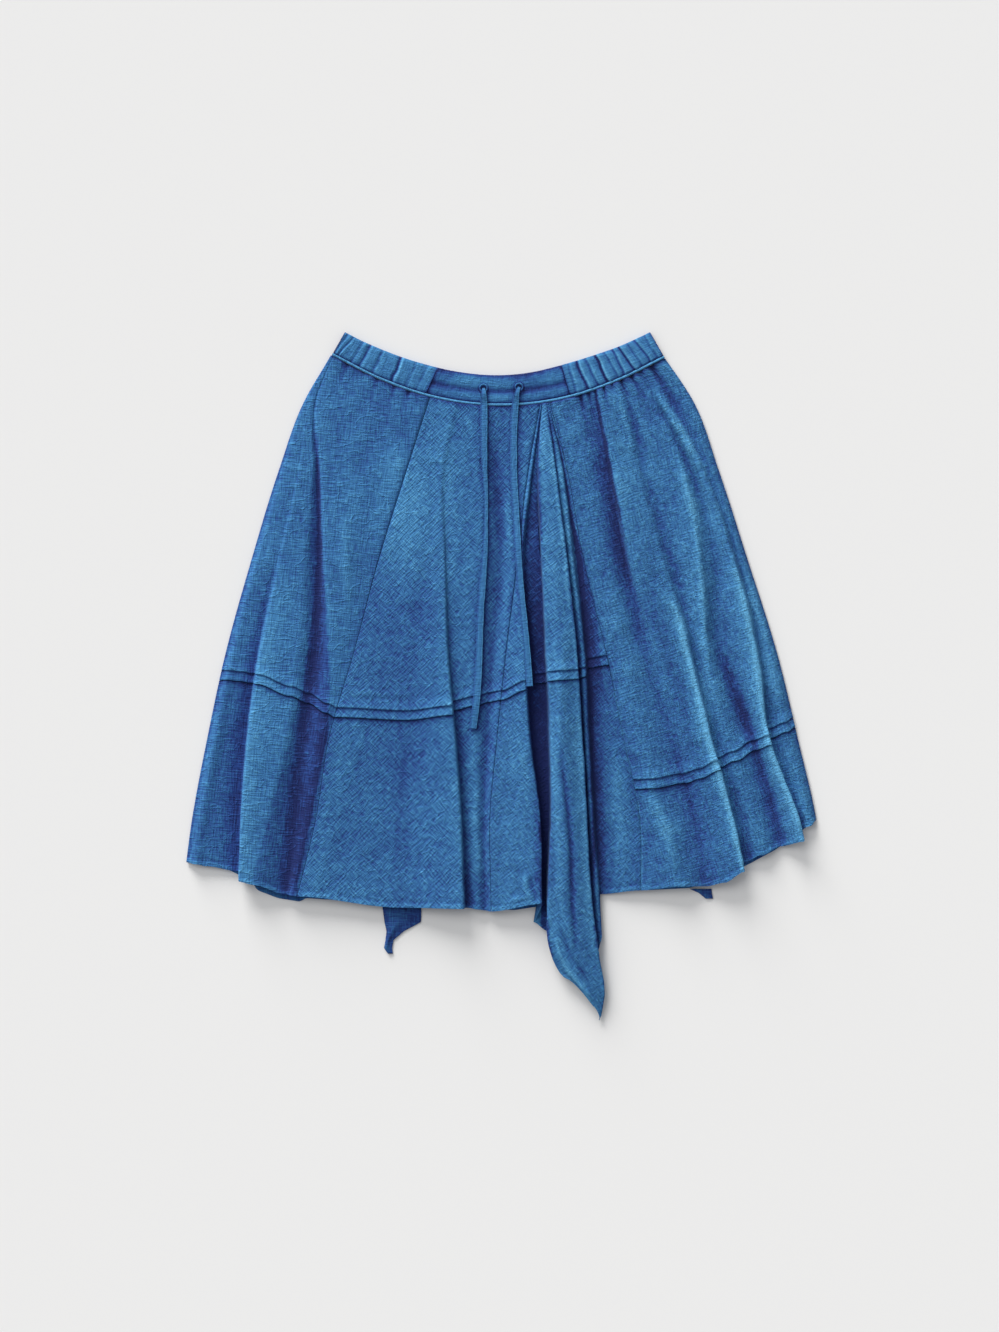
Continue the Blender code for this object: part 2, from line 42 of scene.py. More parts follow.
# Places are read on a laying-out sheet: across from its left edge, down from its top edge.
sheet = {"unit": 1.035, "middleAcross": 501.25, "middleDown": 676.5}
mm = 0.001


def onSheet(across, down, height):
    # x, y and z in millimetres: the sheet's place measured from its middle, and the height above the floor.
    x = sheet["unit"] * (np.asarray(across, float) - sheet["middleAcross"])
    y = sheet["unit"] * (sheet["middleDown"] - np.asarray(down, float))
    return np.stack(np.broadcast_arrays(x, y, np.asarray(height, float)), axis=-1)


def smoothStep(share):
    # From 0 to 1 with level ends: three squares less two cubes.
    return share * share * (3 - 2 * share)


def readSmooth(places, values, at):
    # The smooth curve through values at places: cubic pieces that share slopes, straight past the ends.
    places, values, at = (np.asarray(item, float) for item in (places, values, at))
    slopes = np.gradient(values, places)
    start = np.clip(np.searchsorted(places, at) - 1, 0, len(places) - 2)
    span = places[start + 1] - places[start]
    share = np.clip((at - places[start]) / span, 0, 1)
    rise = smoothStep(share)
    leave = share * (1 - share) ** 2 * span * slopes[start]
    arrive = share**2 * (1 - share) * span * slopes[start + 1]
    inside = values[start] * (1 - rise) + values[start + 1] * rise + leave - arrive
    before = np.minimum(at - places[0], 0) * slopes[0]
    after = np.maximum(at - places[-1], 0) * slopes[-1]
    return inside + before + after


def softNoise(across, down, size, seed):
    # Smooth random hills about size apart, from -1 to 1: random heights on a lattice, blended between.
    dice = np.random.default_rng(seed)
    lattice = dice.uniform(-1, 1, (64, 64))
    u, v = across / size, down / size
    iu, iv = np.floor(u).astype(int), np.floor(v).astype(int)
    su, sv = smoothStep(u - iu), smoothStep(v - iv)

    def corner(du, dv):
        return lattice[(iu + du) % 64, (iv + dv) % 64]

    low = corner(0, 0) * (1 - su) + corner(1, 0) * su
    high = corner(0, 1) * (1 - su) + corner(1, 1) * su
    return low * (1 - sv) + high * sv


def ridgeNoise(across, down, size, seed):
    # Sharp irregular creases: high where the hills pass through nothing.
    return 1 - 2 * np.abs(softNoise(across, down, size, seed))


# Camera, floor and light

view = {"height": 4.0, "frameTall": 1332 * 1.035 * mm, "sensor": 24.0, "middle": (499.5, 666), "farthest": 50}


def addCamera():
    # Straight overhead, its lens chosen so that the frame's height just fills the sensor.
    camera = bpy.data.cameras.new("overheadCamera")
    camera.sensor_fit = "VERTICAL"
    camera.sensor_height = view["sensor"]
    camera.lens = view["sensor"] * view["height"] / view["frameTall"]
    camera.clip_end = view["farthest"]
    holder = bpy.data.objects.new("overheadCamera", camera)
    bpy.context.scene.collection.objects.link(holder)
    x, y, _ = onSheet(*view["middle"], 0) * mm
    holder.location = (x, y, view["height"])
    bpy.context.scene.camera = holder


addCamera()

# Each window: how far left of the picture's top it stands, its height and its softness in degrees,
# and its power.
windows = {
    "lowWindow": {"bearing": 22, "height": 16, "softness": 31, "power": 5.05},
    "highWindow": {"bearing": 50, "height": 50, "softness": 35, "power": 0.87},
}
room = {"sun": (1.0, 0.985, 0.96), "sky": (0.95, 0.97, 1.0, 1), "skyPower": 0.41}
paleFloor = {"side": 6, "below": 0.0002, "shade": 0.80, "roughness": 0.9, "specular": 0.1}


def addLight():
    # A sun for each window, turned to shine from its bearing and height, and an even pale sky.
    for name, window in windows.items():
        sun = bpy.data.lights.new(name, "SUN")
        sun.energy = window["power"]
        sun.angle = math.radians(window["softness"])
        sun.color = room["sun"]
        holder = bpy.data.objects.new(name, sun)
        bpy.context.scene.collection.objects.link(holder)
        bearing, height = math.radians(window["bearing"]), math.radians(window["height"])
        level = math.cos(height)
        towards = Vector((-math.sin(bearing) * level, math.cos(bearing) * level, math.sin(height)))
        holder.rotation_euler = towards.to_track_quat("Z", "Y").to_euler()
    world = bpy.data.worlds.new("paleRoom")
    world.use_nodes = True
    sky = world.node_tree.nodes["Background"].inputs
    sky["Color"].default_value = room["sky"]
    sky["Strength"].default_value = room["skyPower"]
    bpy.context.scene.world = world


addLight()


def addFloor():
    # One pale square under everything.
    side, shade = paleFloor["side"], paleFloor["shade"]
    corners = [(-side, -side, 0), (side, -side, 0), (side, side, 0), (-side, side, 0)]
    mesh = bpy.data.meshes.new("paleFloor")
    mesh.from_pydata(corners, [], [(0, 1, 2, 3)])
    material = bpy.data.materials.new("paleFloor")
    material.use_nodes = True
    shader = material.node_tree.nodes["Principled BSDF"].inputs
    shader["Base Color"].default_value = (shade, shade, shade, 1)
    shader["Roughness"].default_value = paleFloor["roughness"]
    shader["Specular IOR Level"].default_value = paleFloor["specular"]
    mesh.materials.append(material)
    floor = bpy.data.objects.new("paleFloor", mesh)
    floor.location = (0, 0, -paleFloor["below"])
    bpy.context.scene.collection.objects.link(floor)


addFloor()
bpy.context.scene.view_settings.view_transform = "Standard"
print("stage: camera, floor and light")

# Materials

# The cloth's blues on one ramp, from the darkest, for painted shade deep in the folds and dark yarn, to the
# palest, for painted highlights on the crests and pale yarn: where each colour stands on the ramp.
blues = {
    "deepest": (0.0, (0.015, 0.023, 0.104, 1)),
    "deep": (0.25, (0.023, 0.058, 0.225, 1)),
    "mid": (0.5, (0.035, 0.132, 0.325, 1)),
    "light": (0.72, (0.058, 0.214, 0.435, 1)),
    "palest": (1.0, (0.11, 0.35, 0.60, 1)),
}
clothFinish = {
    "Roughness": 0.82, "Specular IOR Level": 0.04,
    "Sheen Weight": 0.12, "Sheen Roughness": 0.5, "Sheen Tint": (0.3, 0.6, 1.0, 1),
}


def addNode(tree, kind, settings=None, inputs=None):
    # A node with its settings, each input either linked to a socket or given a value.
    node = tree.nodes.new(kind)
    for key, value in (settings or {}).items():
        setattr(node, key, value)
    for key, value in (inputs or {}).items():
        if isinstance(value, bpy.types.NodeSocket):
            tree.links.new(value, node.inputs[key])
        else:
            node.inputs[key].default_value = value
    return node


def addMath(tree, operation, first, second):
    # One operation on two values.
    return addNode(tree, "ShaderNodeMath", {"operation": operation}, {0: first, 1: second}).outputs[0]


def addStep(tree, value, low, high):
    # From 0 at low to 1 at high, smoothly.
    bounds = {"Value": value, "From Min": low, "From Max": high}
    return addNode(tree, "ShaderNodeMapRange", {"interpolation_type": "SMOOTHSTEP"}, bounds).outputs[0]


def streaks(tree, place, scale, detail, wander=0.0):
    # Noise drawn out along one direction: scale is how often it changes a metre, along each axis.
    mapping = addNode(tree, "ShaderNodeMapping", {}, {"Vector": place, "Scale": (*scale, 1)})
    settings = {"Vector": mapping.outputs[0], "Scale": 1, "Detail": detail, "Distortion": wander}
    return addNode(tree, "ShaderNodeTexNoise", {}, settings).outputs["Fac"]


def slubs(tree, place, scale):
    # Crisp separate strokes: pale at the top of a drawn-out noise and dark at its bottom.
    noise = streaks(tree, place, scale, 0.5, 0.3)
    pale = addStep(tree, noise, 0.54, 0.66)
    dark = addStep(tree, noise, 0.46, 0.34)
    return addMath(tree, "SUBTRACT", pale, dark)


def creaseLines(tree, place, scale, wander):
    # Thin lines where a slow noise passes through its middle value.
    off = addMath(tree, "SUBTRACT", streaks(tree, place, scale, 1.5, wander), 0.5)
    return addStep(tree, addMath(tree, "ABSOLUTE", off, 0), 0.035, 0.0)


def addUp(tree, parts, start):
    # start plus each part times its amount.
    for part, amount in parts:
        terms = {0: part, 1: amount, 2: start}
        start = addNode(tree, "ShaderNodeMath", {"operation": "MULTIPLY_ADD"}, terms).outputs[0]
    return start


def dyeRamp(tree, amount):
    # The blues in turn along one ramp, read at amount.
    ramp = addNode(tree, "ShaderNodeValToRGB", {}, {"Fac": amount})
    stops = ramp.color_ramp.elements
    stops[0].color, stops[-1].color = blues["deepest"][1], blues["palest"][1]
    for name in ("deep", "mid", "light"):
        position, colour = blues[name]
        stops.new(position).color = colour
    return ramp.outputs["Color"]


def clothMaterial(name, look):
    # Fine yarn along both threads with crisp slubs on it, thin creases, cloudy dye and the folds' painted shade
    # and highlights.
    material = bpy.data.materials.new(name)
    material.use_nodes = True
    tree = material.node_tree
    shader = tree.nodes["Principled BSDF"]
    grain = addNode(tree, "ShaderNodeUVMap", {"uv_map": "grain"}).outputs[0]
    layers = {
        "yarn": addMath(tree, "ADD", *(streaks(tree, grain, look[way], 2) for way in ("warp", "weft"))),
        "slub": addMath(tree, "ADD", *(slubs(tree, grain, look[way]) for way in ("warpSlub", "weftSlub"))),
        "crease": creaseLines(tree, grain, look["creaseScale"], look["wander"]),
        "cloud": streaks(tree, grain, (14, 14), 3),
        "folds": addNode(tree, "ShaderNodeAttribute", {"attribute_name": "paintedFoldShade"}).outputs["Fac"],
    }
    start = 0.5 + look["level"] - look["yarn"] - 0.5 * look["cloud"]
    tone = addUp(tree, [(layers[part], look[part]) for part in layers], start)
    tree.links.new(dyeRamp(tree, tone), shader.inputs["Base Color"])
    raised = [(layers[part], look[part + "Relief"]) for part in ("yarn", "slub", "crease")]
    bump = {"Height": addUp(tree, raised, 0.0), "Strength": look["bump"], "Distance": mm}
    tree.links.new(addNode(tree, "ShaderNodeBump", {}, bump).outputs[0], shader.inputs["Normal"])
    for socket, value in clothFinish.items():
        shader.inputs[socket].default_value = value
    return material


# Scales are changes a metre across and along; yarn, slub, crease, cloud and folds are how much each
# shows in the colour, folds being the painted fold shade and highlights; level is how pale the whole is, and
# bump how strongly the relief shows.
clothBase = {"yarn": 0.38, "level": 0.0, "cloud": 0.20, "folds": 0.34, "bump": 0.8}
trimBase = {"yarn": 0.26, "level": 0.0, "cloud": 0.15, "folds": 0.34, "bump": 0.6}
clothLooks = {
    "straightVoile": clothBase | {
        "warp": (780, 90), "weft": (90, 780), "warpSlub": (680, 75), "weftSlub": (85, 680),
        "creaseScale": (40, 75), "wander": 0.7, "yarn": 0.42, "slub": 0.08, "crease": 0.08,
        "yarnRelief": 0.5, "slubRelief": 0.22, "creaseRelief": 0.6,
    },
    "biasVoile": clothBase | {
        "warp": (720, 110), "weft": (110, 720), "warpSlub": (640, 105), "weftSlub": (105, 640),
        "creaseScale": (60, 60), "wander": 0.8, "slub": 0.11, "crease": 0.07,
        "yarnRelief": 0.45, "slubRelief": 0.3, "creaseRelief": 0.5,
    },
    "crinkledVoile": clothBase | {
        "warp": (700, 120), "weft": (150, 700), "warpSlub": (600, 110), "weftSlub": (150, 600),
        "creaseScale": (110, 70), "wander": 1.6, "slub": 0.09, "crease": 0.10, "level": 0.025,
        "yarnRelief": 0.45, "slubRelief": 0.28, "creaseRelief": 0.8,
    },
    "bandCloth": trimBase | {
        "warp": (780, 150), "weft": (150, 780), "warpSlub": (560, 110), "weftSlub": (110, 560),
        "creaseScale": (80, 80), "wander": 1.0, "slub": 0.05, "crease": 0.06, "level": 0.02,
        "yarnRelief": 0.4, "slubRelief": 0.2, "creaseRelief": 0.5,
    },
    "cordCloth": trimBase | {
        "warp": (900, 180), "weft": (180, 900), "warpSlub": (600, 150), "weftSlub": (150, 600),
        "creaseScale": (90, 90), "wander": 0.6, "slub": 0.03, "crease": 0.04,
        "yarnRelief": 0.5, "slubRelief": 0.3, "creaseRelief": 0.2,
    },
}
cloths = {name: clothMaterial(name, look) for name, look in clothLooks.items()}
print("stage: materials")

# Surfaces


def bell(off, width):
    # One where off is nothing, fading away on both sides: e to the minus square of off over width.
    return np.exp(-((off / width) ** 2))


def addPiece(name, points, faces, grain, shade, look, node):
    # A mesh that carries its grain and its painted fold shade, rides on the root and stands for one node.
    mesh = bpy.data.meshes.new(name)
    mesh.from_pydata((points.reshape(-1, 3) * mm).tolist(), [], faces)
    mesh.shade_smooth()
    corners = np.empty(len(mesh.loops), np.int32)
    mesh.loops.foreach_get("vertex_index", corners)
    flat = grain.reshape(-1, 2) * mm
    mesh.uv_layers.new(name="grain").data.foreach_set("uv", flat[corners].reshape(-1))
    mesh.attributes.new("paintedFoldShade", "FLOAT", "POINT").data.foreach_set("value", shade.reshape(-1))
    mesh.materials.append(cloths[look])
    piece = bpy.data.objects.new(name, mesh)
    bpy.context.scene.collection.objects.link(piece)
    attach(piece, "root")
    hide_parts(node)
    return piece


def cells(corner):
    # The four corners of each cell between neighbours of a grid of point numbers.
    sides = (corner[:-1, :-1], corner[:-1, 1:], corner[1:, 1:], corner[1:, :-1])
    return np.stack(sides, axis=-1).reshape(-1, 4)


def tubeCells(corner):
    # The same with the grid's last column joined to its first, and each cell turned over.
    return np.roll(cells(np.hstack([corner, corner[:, :1]]))[:, ::-1], 1, axis=1)


def closedCloth(name, outer, inner, grain, shade, look, node):
    # One closed wall: the outer grid, the inner grid turned over, and a rim that joins their edges.
    corner = np.arange(shade.size).reshape(shade.shape)
    skin, count = cells(corner), corner.size
    rim = np.concatenate([corner[:, 0], corner[-1, 1:], corner[-2::-1, -1], corner[0, -2:0:-1]])
    after = np.roll(rim, -1)
    edge = np.stack([rim, after, after + count, rim + count], axis=1)
    faces = np.concatenate([skin, skin[:, ::-1] + count, edge]).tolist()
    points, both = np.stack([outer, inner]), np.stack([grain, grain])
    # The inner face is painted darker than the outer, as painted shade.
    tone = np.stack([shade, shade - 0.5])
    return addPiece(name, points, faces, both, tone, look, node)


def gridNormals(grid):
    # The outward direction at each point, square to the steps across and down the grid.
    across, down = np.gradient(grid, axis=0), np.gradient(grid, axis=1)
    normal = np.cross(down, across)
    return normal / np.maximum(np.linalg.norm(normal, axis=-1, keepdims=True), 1e-9)


# The front's fold lines

# From left to right: where each line is seen at acrossAt, how high it stands at heightAt, how far its crest
# leans right at rollAt, and how far down the tucks and the hem cross it. Those of the tail go on at tailAt.
acrossAt = (355, 400, 470, 560, 650, 740, 820, 890)
heightAt = (375, 560, 740, 890)
rollAt = (480, 740)
rollStart = {"down": 400, "over": 80}
tailAt = (955, 995, 1020)
foldLines = [
    ("sideLeft", (331.5, 305, 279, 251.5, 226.5, 207, 192, 183), (2.4, 2.1, 2.1, 2.1), (0, 0), 680, 862),
    ("leftRound", (332, 308, 286, 259, 235, 216, 202, 193), (3.5, 7, 7, 6.5), (0, 0), 680, 864),
    ("leftHollow", (332.3, 310, 292, 269, 246, 226, 212, 204), (3.6, 7.5, 5, 5), (0, 0), 681, 866),
    ("leftFlapFold", (332.7, 311, 298, 277, 258, 245.5, 240, 238), (3.7, 7.3, 3, 2.6), (0, 0), 683, 871),
    ("leftFlap", (333, 311.5, 301, 282, 263, 250, 243.5, 240.5), (3.8, 8.6, 14.4, 15), (0, -6), 684, 881),
    ("leftFlapBack", (333.5, 314, 312, 303, 296.5, 283.5, 264, 252), (3.8, 8, 13, 14), (0, 0), 696, 884),
    ("leftPleat", (334, 316, 317.5, 319, 315, 303, 295, 287), (3.6, 3.4, 7.0, 6.4), (0, 0), 703, 894),
    ("leftPleatEdge", (335, 319, 323, 327, 332, 324, 310, 294), (4.2, 12, 13, 11), (-1.5, -0.5), 713, 895),
    ("seamLeft", (444, 429.5, 407, 379, 355, 329, 316, 299), (4.4, 8, 12.5, 10.5), (0, 0), 717, 896),
    ("centreSwell", (460, 450, 436, 425, 415, 405, 400, 400), (4.6, 10, 10, 9), (0, 0), 720, 907),
    ("centrePleatEdge", (466, 456, 441, 443.5, 446, 454, 459.5, 462), (4.4, 11, 16, 17), (1, 6), 715, 908),
    ("centrePleat", (471, 461, 447, 447, 449, 457, 462.5, 465), (4.2, 8.4, 5.4, 4.8), (0, 0), 710, 907),
    ("leftStringSwell", (486, 483, 480, 480, 476, 476, 476, 478), (4.6, 8.5, 8, 8), (0, 0), 705.5, 909),
    ("betweenStrings", (499, 498, 497, 500, 492, 487, 484, 485), (4.2, 3.8, 5, 5.5), (0, 0), 702, 910),
    ("seamGodetLeft", (550, 541.5, 529, 518, 506.5, 497, 490, 491), (4.2, 9, 10, 9), (0, 0), 700, 911),
    ("godetLeftEdge", (549.5, 542, 531, 521, 523.5, 528.5, 539.5, 541), (4.2, 12, 16, 15), (0.5, 6), 690, 903),
    ("godetFoldLeft", (549, 542.5, 532.5, 525, 526, 532, 540, 538), (4, 5, 2.2, 2.2), (0, 0), 684, 922),
    ("godetFoldRight", (548, 543, 537, 541, 544, 548, 549, 546), (4, 6, 2.2, 2.2), (0, 0), 683, 931),
    ("tailLeftEdge", (546, 543.3, 540, 543, 547.5, 552.5, 552.5, 549), (4.4, 17, 20, 16), (-1, -2), 681, 978),
    ("tailMiddle", (542, 544.3, 547, 553, 560, 560, 566, 570), (4.6, 17.5, 23, 19), (0, 0), 680, 1006),
    ("tailRightEdge", (537, 545, 554.5, 566, 575.5, 581, 585.5, 589.5), (4.4, 16, 17, 15), (3, 6), 679, 1020),
    ("tailUnder", (537.5, 545.6, 555.5, 567, 576.5, 582.5, 587, 591), (4.2, 9, 6, 5), (0, 0), 678, 955),
    ("secondEdge", (536, 546.5, 561, 571.5, 582.5, 586.5, 591.5, 597), (4.2, 11, 11, 9), (1, 3), 677, 941),
    ("secondFold", (537, 547.5, 563.5, 576, 586.5, 591, 595.5, 600), (4, 4.5, 2.3, 2.3), (0, 0), 668, 894),
    ("seamGodetRight", (536, 549, 567, 583.5, 605.5, 624, 640, 641), (4.2, 7.5, 7, 6), (0, 0), 665, 890),
    ("rightSwell", (553, 567, 584, 606, 622, 640, 660, 680), (4.6, 10, 12, 12), (0, 0), 788, 886),
    ("rightPleat", (588, 596, 608.5, 625, 644, 672, 694, 706), (3.2, 5.0, 6.6, 6.6), (0, 0), 783, 886),
    ("rightPleatEdge", (592, 600, 614.5, 632, 664, 690, 712, 726), (4.8, 14, 12, 12), (-1.5, 0), 778, 882),
    ("rightFlap", (604, 620, 636, 660, 686.5, 709.5, 732, 747), (4.8, 10, 17, 17), (0, 6), 770, 871),
    ("rightFlapFold", (612, 629, 646, 672, 694, 713, 735, 749), (3.8, 5.5, 3.4, 3), (0, 0), 767, 863),
    ("rightSideSwell", (622, 649, 680, 697, 706, 728, 752, 768), (4.6, 11, 9.5, 8), (0, 0), 761, 855),
    ("rightSideHollow", (628, 655, 690, 714, 720, 753, 776, 790), (3.6, 3.2, 3.2, 4), (0, 0), 750, 846),
    ("sideFlap", (634, 660, 700, 732, 754, 768, 797, 812), (4.8, 12, 15, 14), (0, 6), 745, 841),
    ("sideFlapFold", (642, 670, 706, 737.5, 760, 771, 799, 814), (3.8, 5, 2.8, 2.5), (0, 0), 738, 829),
    ("rightRound", (655, 685, 711, 742, 769, 788, 808, 815), (4, 7, 7, 6.5), (0, 0), 732, 826),
    ("sideRight", (662.5, 692.5, 718.5, 747.5, 776, 798, 816, 822), (2.4, 2.1, 2.1, 2.1), (0, 0), 727, 820),
]
tailLines = {
    "godetFoldLeft": ((530, 532, 534), (1.8, 1.3, 1)),
    "godetFoldRight": ((551, 556, 560), (1.8, 1.3, 1)),
    "tailLeftEdge": ((552.5, 579, 596), (11, 6, 3)),
    "tailMiddle": ((574, 590, 598), (14, 9, 4)),
    "tailRightEdge": ((598, 604, 599), (12, 8, 3)),
    "tailUnder": ((597, 600, 601), (3, 2, 1.8)),
    "secondEdge": ((602, 606, 607), (5, 3, 2)),
}
lineNamed = {fold[0]: number for number, fold in enumerate(foldLines)}
# The right panel's tucks start lower than the godet's where the two meet.
rightPanelTuck = 789
# The waist seam is read smoothly between these places.
waistSeamAcross = (331.5, 380, 430, 500, 570, 620, 664.5)
waistSeamDown = (354, 378.5, 396, 405, 396.5, 379, 357)
# In millimetres: the cloth's wall, the shell drawn for it, its gaps, the piping and the grid's step.
cloth = {"wall": 1.2, "shell": 1.0, "seamGap": 0.3, "tierGap": 0.5, "piping": 2.2, "step": 1.9}


def waistSeam(across):
    # How far down the waist seam lies.
    return readSmooth(waistSeamAcross, waistSeamDown, across)


def lineAcross(number, down):
    # Where a fold line is seen, read smoothly down its places.
    name, across = foldLines[number][:2]
    if name in tailLines:
        return readSmooth(acrossAt + tailAt, across + tailLines[name][0], down)
    return readSmooth(acrossAt, across, down)


def lineHeight(number, down):
    # How high a fold line stands, read between its heights.
    name, _, height = foldLines[number][:3]
    if name in tailLines:
        return readSmooth(heightAt + tailAt, height + tailLines[name][1], down)
    return np.interp(down, heightAt, height)


def lineRoll(number, down):
    # How far a fold's crest leans, growing from nothing below the gathers.
    grown = np.clip((down - rollStart["down"]) / rollStart["over"], 0, 1)
    return grown * np.interp(down, rollAt, foldLines[number][3])


# The drawstring's two ends: their length in metres, and across, down, height and share of the full width.
strings = {
    "drawstring_left": {
        "length": 0.351,
        "route": [
            (483.5, 388.6, 7.4, 0.42), (483.8, 394, 9.1, 0.7), (484, 402, 7.3, 0.95), (484, 415, 7.4, 1.0),
            (484, 440, 7.9, 1.0), (484.5, 465, 8.2, 0.8), (486, 495, 8.2, 0.55), (486, 525, 8.7, 0.55),
            (485, 555, 9.7, 0.75), (482.5, 585, 10.2, 0.95), (480.5, 615, 10.3, 0.95), (479.5, 645, 10.2, 0.95),
            (478, 680, 10.7, 1.0), (476, 705, 11.4, 1.0), (473, 728, 10.4, 1.0),
        ],
    },
    "drawstring_right": {
        "length": 0.310,
        "route": [
            (519.2, 387.6, 7.4, 0.42), (517.2, 393, 9.1, 0.6), (515.8, 401, 7.4, 0.95), (514.5, 415, 6.8, 1.0),
            (513.5, 445, 7.2, 1.0), (514, 480, 8.2, 1.0), (516, 515, 9.7, 0.95), (518, 550, 13.3, 0.95),
            (520, 580, 14.5, 0.9), (523, 610, 15.1, 0.9), (526, 640, 15.6, 0.9), (528, 665, 15.4, 0.95),
            (529.5, 686, 15.5, 0.95),
        ],
    },
}
strap = {"width": 7.2, "thick": 1.8, "points": 340, "sides": 28}

# Painted shade in the front's hollows and painted highlights on its crests, from the front's own depth:
# the grid it is worked out on, and how wide, soon and strong.
paintedHollowShade = {
    "left": 170, "right": 850, "step": 1.5, "top": 340, "foot": 1030, "rowStep": 6.0,
    "spread": 15, "knee": 3.2, "dark": 1.25, "light": 0.3,
}


def readHollows():
    # How far each place of the front lies under the average of the cloth to its left and right.
    across = np.arange(paintedHollowShade["left"], paintedHollowShade["right"], paintedHollowShade["step"])
    down = np.arange(paintedHollowShade["top"], paintedHollowShade["foot"], paintedHollowShade["rowStep"])
    lines = range(len(foldLines))
    places = np.stack([lineAcross(number, down) for number in lines])
    heights = np.stack([lineHeight(number, down) for number in lines])
    places = np.maximum.accumulate(places, axis=0) + np.arange(len(foldLines))[:, None] * 0.001
    high = np.stack([np.interp(across, places[:, row], heights[:, row]) for row in range(len(down))])
    reach = np.arange(-3 * paintedHollowShade["spread"], 3 * paintedHollowShade["spread"] + 1, paintedHollowShade["step"])
    weight = bell(reach, paintedHollowShade["spread"])
    padded = np.pad(high, ((0, 0), (len(reach) // 2, len(reach) // 2)), mode="edge")
    mean = np.stack([np.convolve(row, weight / weight.sum(), mode="valid") for row in padded])
    return mean - high


hollows = readHollows()


def hollowShadeAndHighlight(across, down):
    # Hollows get painted shade and crests a paler painted highlight; each levels off past a few millimetres.
    u = np.clip((across - paintedHollowShade["left"]) / paintedHollowShade["step"], 0, hollows.shape[1] - 1.001)
    v = np.clip((down - paintedHollowShade["top"]) / paintedHollowShade["rowStep"], 0, hollows.shape[0] - 1.001)
    iu, iv = u.astype(int), v.astype(int)
    su, sv = u - iu, v - iv
    upper = hollows[iv, iu] * (1 - su) + hollows[iv, iu + 1] * su
    lower = hollows[iv + 1, iu] * (1 - su) + hollows[iv + 1, iu + 1] * su
    level = np.tanh((upper * (1 - sv) + lower * sv) / paintedHollowShade["knee"])
    return np.where(level > 0, -paintedHollowShade["dark"] * level, -paintedHollowShade["light"] * level)


# Painted shade (negative amounts) and painted highlights (positive ones) along folds, beyond what their height
# alone gives: how much, how wide to the fold line's left and right, and from where to where down the cloth.
paintedFoldAccents = {
    "leftHollow": [(-0.3, 18, 16, 620, 880)],
    "leftFlap": [(0.35, 4, 20, 560, 900)],
    "leftPleatEdge": [(-0.8, 9, 6, 690, 930)],
    "centreSwell": [(0.15, 30, 20, 380, 540), (-0.25, 45, 36, 570, 880)],
    "centrePleat": [(0.5, 3, 14, 440, 900)],
    "betweenStrings": [(0.15, 18, 10, 430, 900)],
    "seamGodetLeft": [(-0.25, 4, 16, 560, 900), (-0.5, 2, 6, 400, 520)],
    "godetLeftEdge": [(0.4, 2, 1, 560, 900)],
    "godetFoldLeft": [(0.5, 8, 12, 380, 520), (-0.8, 6, 14, 660, 920)],
    "godetFoldRight": [(-0.3, 8, 5, 520, 920)],
    "tailLeftEdge": [(-0.6, 4, 1, 420, 560), (0.2, 1, 2, 560, 960)],
    "tailRightEdge": [(0.6, 2, 1, 420, 700), (0.5, 8, 1, 690, 960)],
    "tailUnder": [(0.5, 4, 6, 430, 640)],
    "secondFold": [(0.5, 8, 8, 430, 620), (-0.5, 9, 6, 650, 900)],
    "seamGodetRight": [(-0.25, 34, 30, 640, 930)],
    "rightPleat": [(-0.6, 18, 3, 430, 600), (0.1, 14, 4, 620, 760)],
    "rightPleatEdge": [(-0.2, 50, 50, 720, 930), (-0.5, 6, 16, 580, 790)],
    "rightFlap": [(0.5, 14, 14, 370, 500), (0.35, 14, 3, 580, 880), (1.1, 3.2, 1.2, 600, 900)],
    "rightFlapFold": [(0.7, 9, 9, 420, 860), (0.8, 5, 6, 640, 900)],
    "rightSideHollow": [(0.8, 14, 8, 470, 680), (-0.4, 8, 8, 680, 860)],
    "sideFlap": [(0.4, 8, 3, 560, 840), (1.0, 3, 1.2, 540, 860)],
    "sideFlapFold": [(0.9, 4, 9, 560, 830)],
}
accentFade = 50


def accentTone(across, down):
    # Each painted accent fades away to both sides of its fold line as a bell curve, and smoothly at its ends.
    tone = np.zeros_like(across)
    for name, accents in paintedFoldAccents.items():
        off = across - lineAcross(lineNamed[name], down)
        for amount, left, right, first, last in accents:
            starts = smoothStep(np.clip((down - first) / accentFade, 0, 1))
            stops = smoothStep(np.clip((last - down) / accentFade, 0, 1))
            tone += amount * bell(off, np.where(off < 0, left, right)) * starts * stops
    return tone
